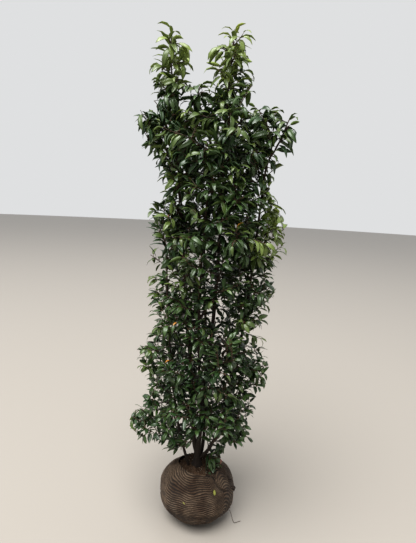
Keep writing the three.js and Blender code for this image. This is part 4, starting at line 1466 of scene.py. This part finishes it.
def wrap_points(points, arc, settings):
    """Lifts strands out of the bag's outer skin. Returns the points and how high each stands, 0 to 1, lowered
    in the fold's crease by painted shade; the netting's colour follows it.
    """
    turn = np.arctan2(points[:, 1], points[:, 0])

    def skin_noise(around, upward, scale=1.0, offset=0.0):
        return np.array([
            noise.noise(Vector((math.cos(t) * around + offset, math.sin(t) * around, u / upward)) * scale)
            for t, u in zip(turn, arc)
        ])

    wander = skin_noise(3.0, 52)
    ripple = skin_noise(9.0, 17, offset=5.0)
    crowded = bump(turn, *CROWDED[0]) + bump(turn % FULL_TURN, *CROWDED[1])
    level = (arc - STRAND_LEVEL) * (1 - CROWDED_BY * crowded) * (0.66 + 0.34 * smooth(arc, 60, 300))
    level = STRAND_LEVEL + level
    phase = (level + strand_rise(turn, arc) + 7 * wander + 1.3 * ripple) / (settings.strand_spacing / MM)
    strand = (0.5 + 0.5 * np.cos(FULL_TURN * phase)) ** STRAND_SHARPNESS
    thin = (0.5 + 0.5 * np.cos(FULL_TURN * (phase * THIN_STRANDS + 3 * wander))) ** 2
    thick = skin_noise(4.0, 24, offset=9.0)
    frayed = skin_noise(26.0, 9, offset=3.0)
    even, thicker, fluffier = STRAND_VARIES
    strand = strand * (even + thicker * thick + fluffier * frayed)
    ridge = np.clip(strand + THIN_HEIGHT * thin, 0, HIGHEST_STRAND)
    # Strands are lowered and darkened towards the bottom as painted shade, and raised and paled near the top
    # as painted light from above; this sets both their relief and their colour.
    ridge *= lerp(0.74, 1.0, smooth(arc, 40, 230)) + 0.3 * smooth(arc, 240, 310)
    lumps = skin_noise(1.6, 60, 1.4, 2.0)
    fold, crease = fold_height(turn, arc)
    height = settings.strand_height / MM * (ridge - GROUND_RIDGE) + LUMP_HEIGHT * lumps + fold
    outward = np.stack([np.cos(turn), np.sin(turn), np.zeros_like(turn)], axis=1)
    lip_share = smooth(arc, *LIP_ARC)[:, None]
    direction = outward * (1 - 0.75 * lip_share) + 0.8 * lip_share * UP
    flat_foot = smooth(points[:, 2], *FLAT_FOOT)
    # The height handed on for the colour is darkened in the crease: painted shade.
    return points + direction * (height * flat_foot)[:, None], np.clip(ridge * (1 - crease), 0, 1)


class LAUREL_OT_wrap(bpy.types.Operator):
    """Stretches the netting over the root ball."""

    bl_idname = "laurel.wrap"
    bl_label = "Root ball wrap"

    OUTSIDE_STEPS = 190
    INSIDE_STEPS = 16
    TURN_STEPS = 320
    ON_SKIN = 0.05

    def execute(self, context):
        settings = context.scene.laurel_wrap
        outside = bag_profile(self.OUTSIDE_STEPS)
        inside = inset_profile(bag_profile(self.INSIDE_STEPS), WRAP_THICKNESS)[::-1]
        profile = np.vstack([[(0, 0)], outside, inside, [(0, WRAP_THICKNESS)]])
        mesh = mesh_of("netting_wrap", spun(profile, self.TURN_STEPS))
        points = points_of(mesh)
        off = apart(np.stack([np.hypot(points[:, 0], points[:, 1]), points[:, 2]], axis=1), outside)
        skin = off.min(axis=1) < self.ON_SKIN
        arc = lengths_along(outside)[off.argmin(axis=1)]
        placed = settled(points)
        ridge = np.zeros(len(points))
        placed[skin], ridge[skin] = wrap_points(placed[skin], arc[skin], settings)
        placed[:, 2] = np.maximum(placed[:, 2], 0)
        move_points(mesh, placed)
        # The ridge attribute sets the netting's colour, with painted highlight on the crowns and painted
        # shade in the grooves, the crease and towards the bottom.
        attribute = mesh.attributes.new("ridge", "FLOAT", "POINT")
        attribute.data.foreach_set("value", ridge.astype(np.float32))
        add_piece(mesh, "wrap", ["root_ball_wrap"], netting_material(settings))
        return {"FINISHED"}


# The soil's heaps and clods: how wide and how high.
HEAPS = (26, 7)
CLODS = (7, 3.2)


def soil_height(x, y):
    """How far the soil's crumbled surface stands off its level, in millimetres."""
    heap = noise_at(x / HEAPS[0], y / HEAPS[0], 0.3) * HEAPS[1]
    return heap + noise.fractal(Vector((x / CLODS[0], y / CLODS[0], 4.1)), 0.7, 2.0, 3) * CLODS[1]


class LAUREL_OT_soil(bpy.types.Operator):
    """Fills the wrap with soil, crumbled on top."""

    bl_idname = "laurel.soil"
    bl_label = "Soil"

    WALL_STEPS = 14
    SEAT_STEPS = 34
    TURN_STEPS = 150
    CALM_EDGE = 12

    def execute(self, context):
        wall = inset_profile(bag_profile(self.WALL_STEPS), WRAP_THICKNESS + 3 * GAP)
        edge = SOIL_LEVEL - SOIL_SLOPE
        below = wall[wall[:, 1] < edge]
        edge_radius = np.interp(edge, wall[:, 1], wall[:, 0])
        slope = np.linspace((edge_radius, edge), (SOIL_SEAT_RADIUS, SOIL_LEVEL), self.WALL_STEPS)
        seat = np.linspace((SOIL_SEAT_RADIUS, SOIL_LEVEL), (0, SOIL_LEVEL), self.SEAT_STEPS)[1:]
        shape = spun(np.vstack([[(0, below[0, 1])], below, slope, seat]), self.TURN_STEPS)
        for vert in shape.verts:
            if vert.co.z > edge - 1:
                wide = math.hypot(vert.co.x, vert.co.y)
                loose = 1 - float(smooth(wide, edge_radius - self.CALM_EDGE, edge_radius))
                vert.co.z += soil_height(vert.co.x, vert.co.y) * loose
        mesh = mesh_of("soil", shape)
        move_points(mesh, settled(points_of(mesh)))
        add_piece(mesh, "soil", ["root_ball_soil"], soil_material(context.scene.laurel_soil))
        return {"FINISHED"}


def crumb_pattern(seed):
    """A small angular lump."""
    shape = bmesh.new()
    bmesh.ops.create_icosphere(shape, subdivisions=1, radius=1)
    draw = np.random.default_rng(seed)
    for vert in shape.verts:
        vert.co *= float(draw.uniform(0.65, 1.1))
    return Pattern(shape)


def scattered(pattern, places, sizes, draw):
    """The pattern's copies at the places, each turned its own way and a little flattened."""
    copies = []
    for place, size in zip(places, sizes):
        turn = Matrix.Rotation(draw.uniform(0, FULL_TURN), 3, Vector(draw.normal(size=3)).normalized())
        stretch = np.array((draw.uniform(0.8, 1.3), draw.uniform(0.8, 1.2), draw.uniform(0.5, 0.9)))
        copies.append((pattern.points * stretch * size) @ np.array(turn).T + place)
    return copies


class LAUREL_OT_crumbs(bpy.types.Operator):
    """Scatters soil crumbs, small stones and torn roots in the opening."""

    bl_idname = "laurel.crumbs"
    bl_label = "Crumbs, stones and roots"

    REACH = 92
    STONES = 34
    ROOTS = 34
    ROOT_REACH = (14, 84)
    ROOT_LENGTHS = (12, 34)
    ROOT_RADII = (0.5, 1.2)
    ROOT_DROOP = 0.35
    ROOT_TAPER = 0.4
    RAISED_SHARE = 0.2
    SLOPE_WIDTH = 50

    def execute(self, context):
        draw = np.random.default_rng(FIRST_SEED + 2)
        for name, number, sizes, colour in (
            ("soil_crumbs", context.scene.laurel_soil.crumbs, (1.6, 6.5), "#5a4737"),
            ("small_stones", self.STONES, (2.5, 6.5), "#9a9084"),
        ):
            turns = draw.uniform(0, FULL_TURN, number)
            reach = self.REACH * np.sqrt(draw.uniform(0.02, 1, number))
            x, y = reach * np.cos(turns), reach * np.sin(turns)
            size = draw.uniform(*sizes, number) * draw.uniform(0.6, 1, number)
            slope = SOIL_LEVEL - SOIL_SLOPE * np.clip((reach - SOIL_SEAT_RADIUS) / self.SLOPE_WIDTH, 0, 1)
            z = slope + np.array([soil_height(a, b) for a, b in zip(x, y)]) + size * self.RAISED_SHARE
            pattern = crumb_pattern(FIRST_SEED + number)
            copies = scattered(pattern, settled(np.stack([x, y, z], axis=1)), size, draw)
            material = skin_material("loose_" + name, linear(colour), 2, 0.9, 0.45)
            add_piece(joined_mesh(name, pattern, copies, False), "soil", [], material)
        roots = []
        for _ in range(self.ROOTS):
            turn = draw.uniform(0, FULL_TURN)
            reach = draw.uniform(*self.ROOT_REACH)
            start = np.array((reach * math.cos(turn), reach * math.sin(turn), 0.0))
            start[2] = SOIL_LEVEL + soil_height(start[0], start[1])
            heading = heading_of(turn + draw.uniform(-1.2, 1.2), draw.uniform(-0.1, 0.35))
            length = draw.uniform(*self.ROOT_LENGTHS)
            shares = np.linspace(0, 1, 6)[:, None]
            bendy = np.cross(heading, UP) * draw.uniform(-0.4, 0.4) - UP * self.ROOT_DROOP
            line = start + length * (heading * shares + bendy * shares ** 2)
            width = draw.uniform(*self.ROOT_RADII)
            roots.append((line, width, width * self.ROOT_TAPER))
        add_tubes("fine_roots", 5, 7, roots, "soil", [], skin_material("fine_roots", linear("#5d4936"), 3))
        return {"FINISHED"}


def ball_place(turn, height, out):
    """A place on the wrap at a turn in degrees and a height, standing out by a little, in millimetres."""
    outline = bag_profile(80)
    turn = math.radians(turn)
    radius = float(np.interp(height, outline[:, 1], outline[:, 0])) + out
    return settled(np.array([[radius * math.cos(turn), radius * math.sin(turn), height]]))[0]


class LAUREL_OT_bits(bpy.types.Operator):
    """Adds the leaves stuck to the wrap, its torn ends and its loose thread."""

    bl_idname = "laurel.bits"
    bl_label = "Stuck leaves, torn ends and thread"

    # Turn in degrees, height, length and lean of each leaf; turn, height and size of each torn end.
    STUCK = ((-60, 242, 40, 0.15), (-109, 190, 16, 1.0))
    STUCK_OUT = 15
    TORN = ((-17, 232, 13), (-20, 222, 9), (-15, 215, 8), (-16, 182, 12), (-14, 170, 10), (-12, 158, 7))
    TORN_OUT = 4
    THREAD = ((166, -88, 86), (176, -80, 58), (186, -84, 26), (195, -76, 6), (210, -68, 3), (228, -60, 3))
    THREAD_RADIUS = 1.1

    def execute(self, context):
        leaf = leaf_pattern(0)
        copies = []
        for turn, height, length, lean in self.STUCK:
            foot = ball_place(turn, height, self.STUCK_OUT)
            face = unit(foot * np.array((1, 1, 0)))
            heading = turned_about(unit(-UP + face * 0.12), face, lean)
            across = unit(np.cross(face, heading))
            points = leaf.points * np.array((length, length, length * 0.08))
            copies.append(points @ np.array([heading, across, face]) + foot)
        fallen = (
            skin_material("laurel_leaf_fallen", linear("#83863a"), 30, 0.6, 0.28, True),
            skin_material("laurel_midrib_fallen", linear("#b0b070"), 5),
            skin_material("laurel_leaf_fallen_underside", linear("#8a8f4a"), 5),
        )
        add_piece(joined_mesh("stuck_leaves", leaf, copies), "young_leaf", [], *fallen)
        lump = crumb_pattern(FIRST_SEED + 5)
        places = [ball_place(turn, height, self.TORN_OUT) for turn, height, _ in self.TORN]
        sizes = [size for _, _, size in self.TORN]
        copies = scattered(lump, places, sizes, np.random.default_rng(FIRST_SEED + 3))
        material = skin_material("wet_torn_netting", linear("#2b211a"), 3, 0.8)
        add_piece(joined_mesh("torn_ends", lump, copies), "wrap", [], material)
        thread = (through(self.THREAD, np.linspace(0, 1, 60)), self.THREAD_RADIUS, self.THREAD_RADIUS)
        material = skin_material("netting_thread", linear("#3a2e26"), 2, 0.8)
        add_tubes("loose_thread", 6, 40, [thread], "wrap", [], material)
        return {"FINISHED"}


# Stage.

class LAUREL_OT_stage(bpy.types.Operator):
    """Sets a plain pale floor, a plain soft light and the camera."""

    bl_idname = "laurel.stage"
    bl_label = "Stage"

    FLOOR_RADIUS = 40
    FLOOR_ROUGHNESS = 0.42
    LAMP_SIZE = 13.0
    LAMP_PLACE = (-3.0, -5.0, 14.0)
    LAMP_AIM = (0, 0, 1.2)

    def execute(self, context):
        settings = context.scene.laurel_stage
        scene = context.scene
        shape = bmesh.new()
        bmesh.ops.create_circle(shape, cap_ends=True, segments=96, radius=self.FLOOR_RADIUS)
        floor = add_object("floor", mesh_of("floor", shape, False))
        material, tree = new_material("plain_floor")
        finish_material(tree, {"Base Color": settings.floor, "Roughness": self.FLOOR_ROUGHNESS}, {})
        floor.data.materials.append(material)
        world = bpy.data.worlds.new("soft_light")
        scene.world = world
        world.use_nodes = True
        background = world.node_tree.nodes["Background"]
        background.inputs["Color"].default_value = settings.sky
        background.inputs["Strength"].default_value = settings.strength
        lamp = bpy.data.lights.new("soft_box", "AREA")
        lamp.shape = "DISK"
        lamp.size = self.LAMP_SIZE
        lamp.energy = settings.overhead
        holder = add_object("soft_box", lamp)
        holder.location = self.LAMP_PLACE
        holder.rotation_euler = (Vector(self.LAMP_AIM) - holder.location).to_track_quat("-Z", "Y").to_euler()
        camera = bpy.data.cameras.new("camera")
        camera.sensor_width = SENSOR_MM
        camera.lens = FOCAL_PIXELS / max(IMAGE_SIZE) * SENSOR_MM
        eye = add_object("camera", camera)
        forward = Vector((0, math.cos(CAMERA_PITCH), -math.sin(CAMERA_PITCH)))
        level_up = Vector((0, math.sin(CAMERA_PITCH), math.cos(CAMERA_PITCH)))
        level_right = Vector((1, 0, 0))
        right = level_right * math.cos(CAMERA_ROLL) + level_up * math.sin(CAMERA_ROLL)
        up = -level_right * math.sin(CAMERA_ROLL) + level_up * math.cos(CAMERA_ROLL)
        axes = Matrix((right, up, -forward)).transposed().to_4x4()
        axes.translation = Vector(CAMERA_PLACE)
        eye.matrix_world = axes
        bpy.context.scene.camera = eye
        scene.view_settings.view_transform = "Standard"
        scene.view_settings.look = "Medium High Contrast"
        return {"FINISHED"}


OPERATORS = (
    LAUREL_OT_bark,
    LAUREL_OT_twigs,
    LAUREL_OT_leaves,
    LAUREL_OT_stalks,
    LAUREL_OT_wrap,
    LAUREL_OT_soil,
    LAUREL_OT_crumbs,
    LAUREL_OT_bits,
    LAUREL_OT_stage,
)
SETTINGS = {
    "laurel_wood": LaurelWoodSettings,
    "laurel_leaves": LaurelLeafSettings,
    "laurel_wrap": LaurelWrapSettings,
    "laurel_soil": LaurelSoilSettings,
    "laurel_stage": LaurelStageSettings,
}


class LAUREL_PT_panel(bpy.types.Panel):
    """Lists the shrub's pieces in the sidebar."""

    bl_idname = "LAUREL_PT_panel"
    bl_label = "Columnar laurel"
    bl_space_type = "VIEW_3D"
    bl_region_type = "UI"
    bl_category = "Laurel"

    def draw(self, context):
        for group in SETTINGS:
            box = self.layout.box()
            settings = getattr(context.scene, group)
            for name in type(settings).__annotations__:
                box.prop(settings, name)
        for operator in OPERATORS:
            self.layout.operator(operator.bl_idname)


def register():
    for group, kind in SETTINGS.items():
        bpy.utils.register_class(kind)
        setattr(bpy.types.Scene, group, PointerProperty(type=kind))
    for kind in (*OPERATORS, LAUREL_PT_panel):
        bpy.utils.register_class(kind)


def unregister():
    for kind in (LAUREL_PT_panel, *reversed(OPERATORS)):
        bpy.utils.unregister_class(kind)
    for group, kind in SETTINGS.items():
        delattr(bpy.types.Scene, group)
        bpy.utils.unregister_class(kind)


def main():
    register()
    for operator in OPERATORS:
        category, name = operator.bl_idname.split(".")
        getattr(getattr(bpy.ops, category), name)()


if __name__ == "__main__":
    main()
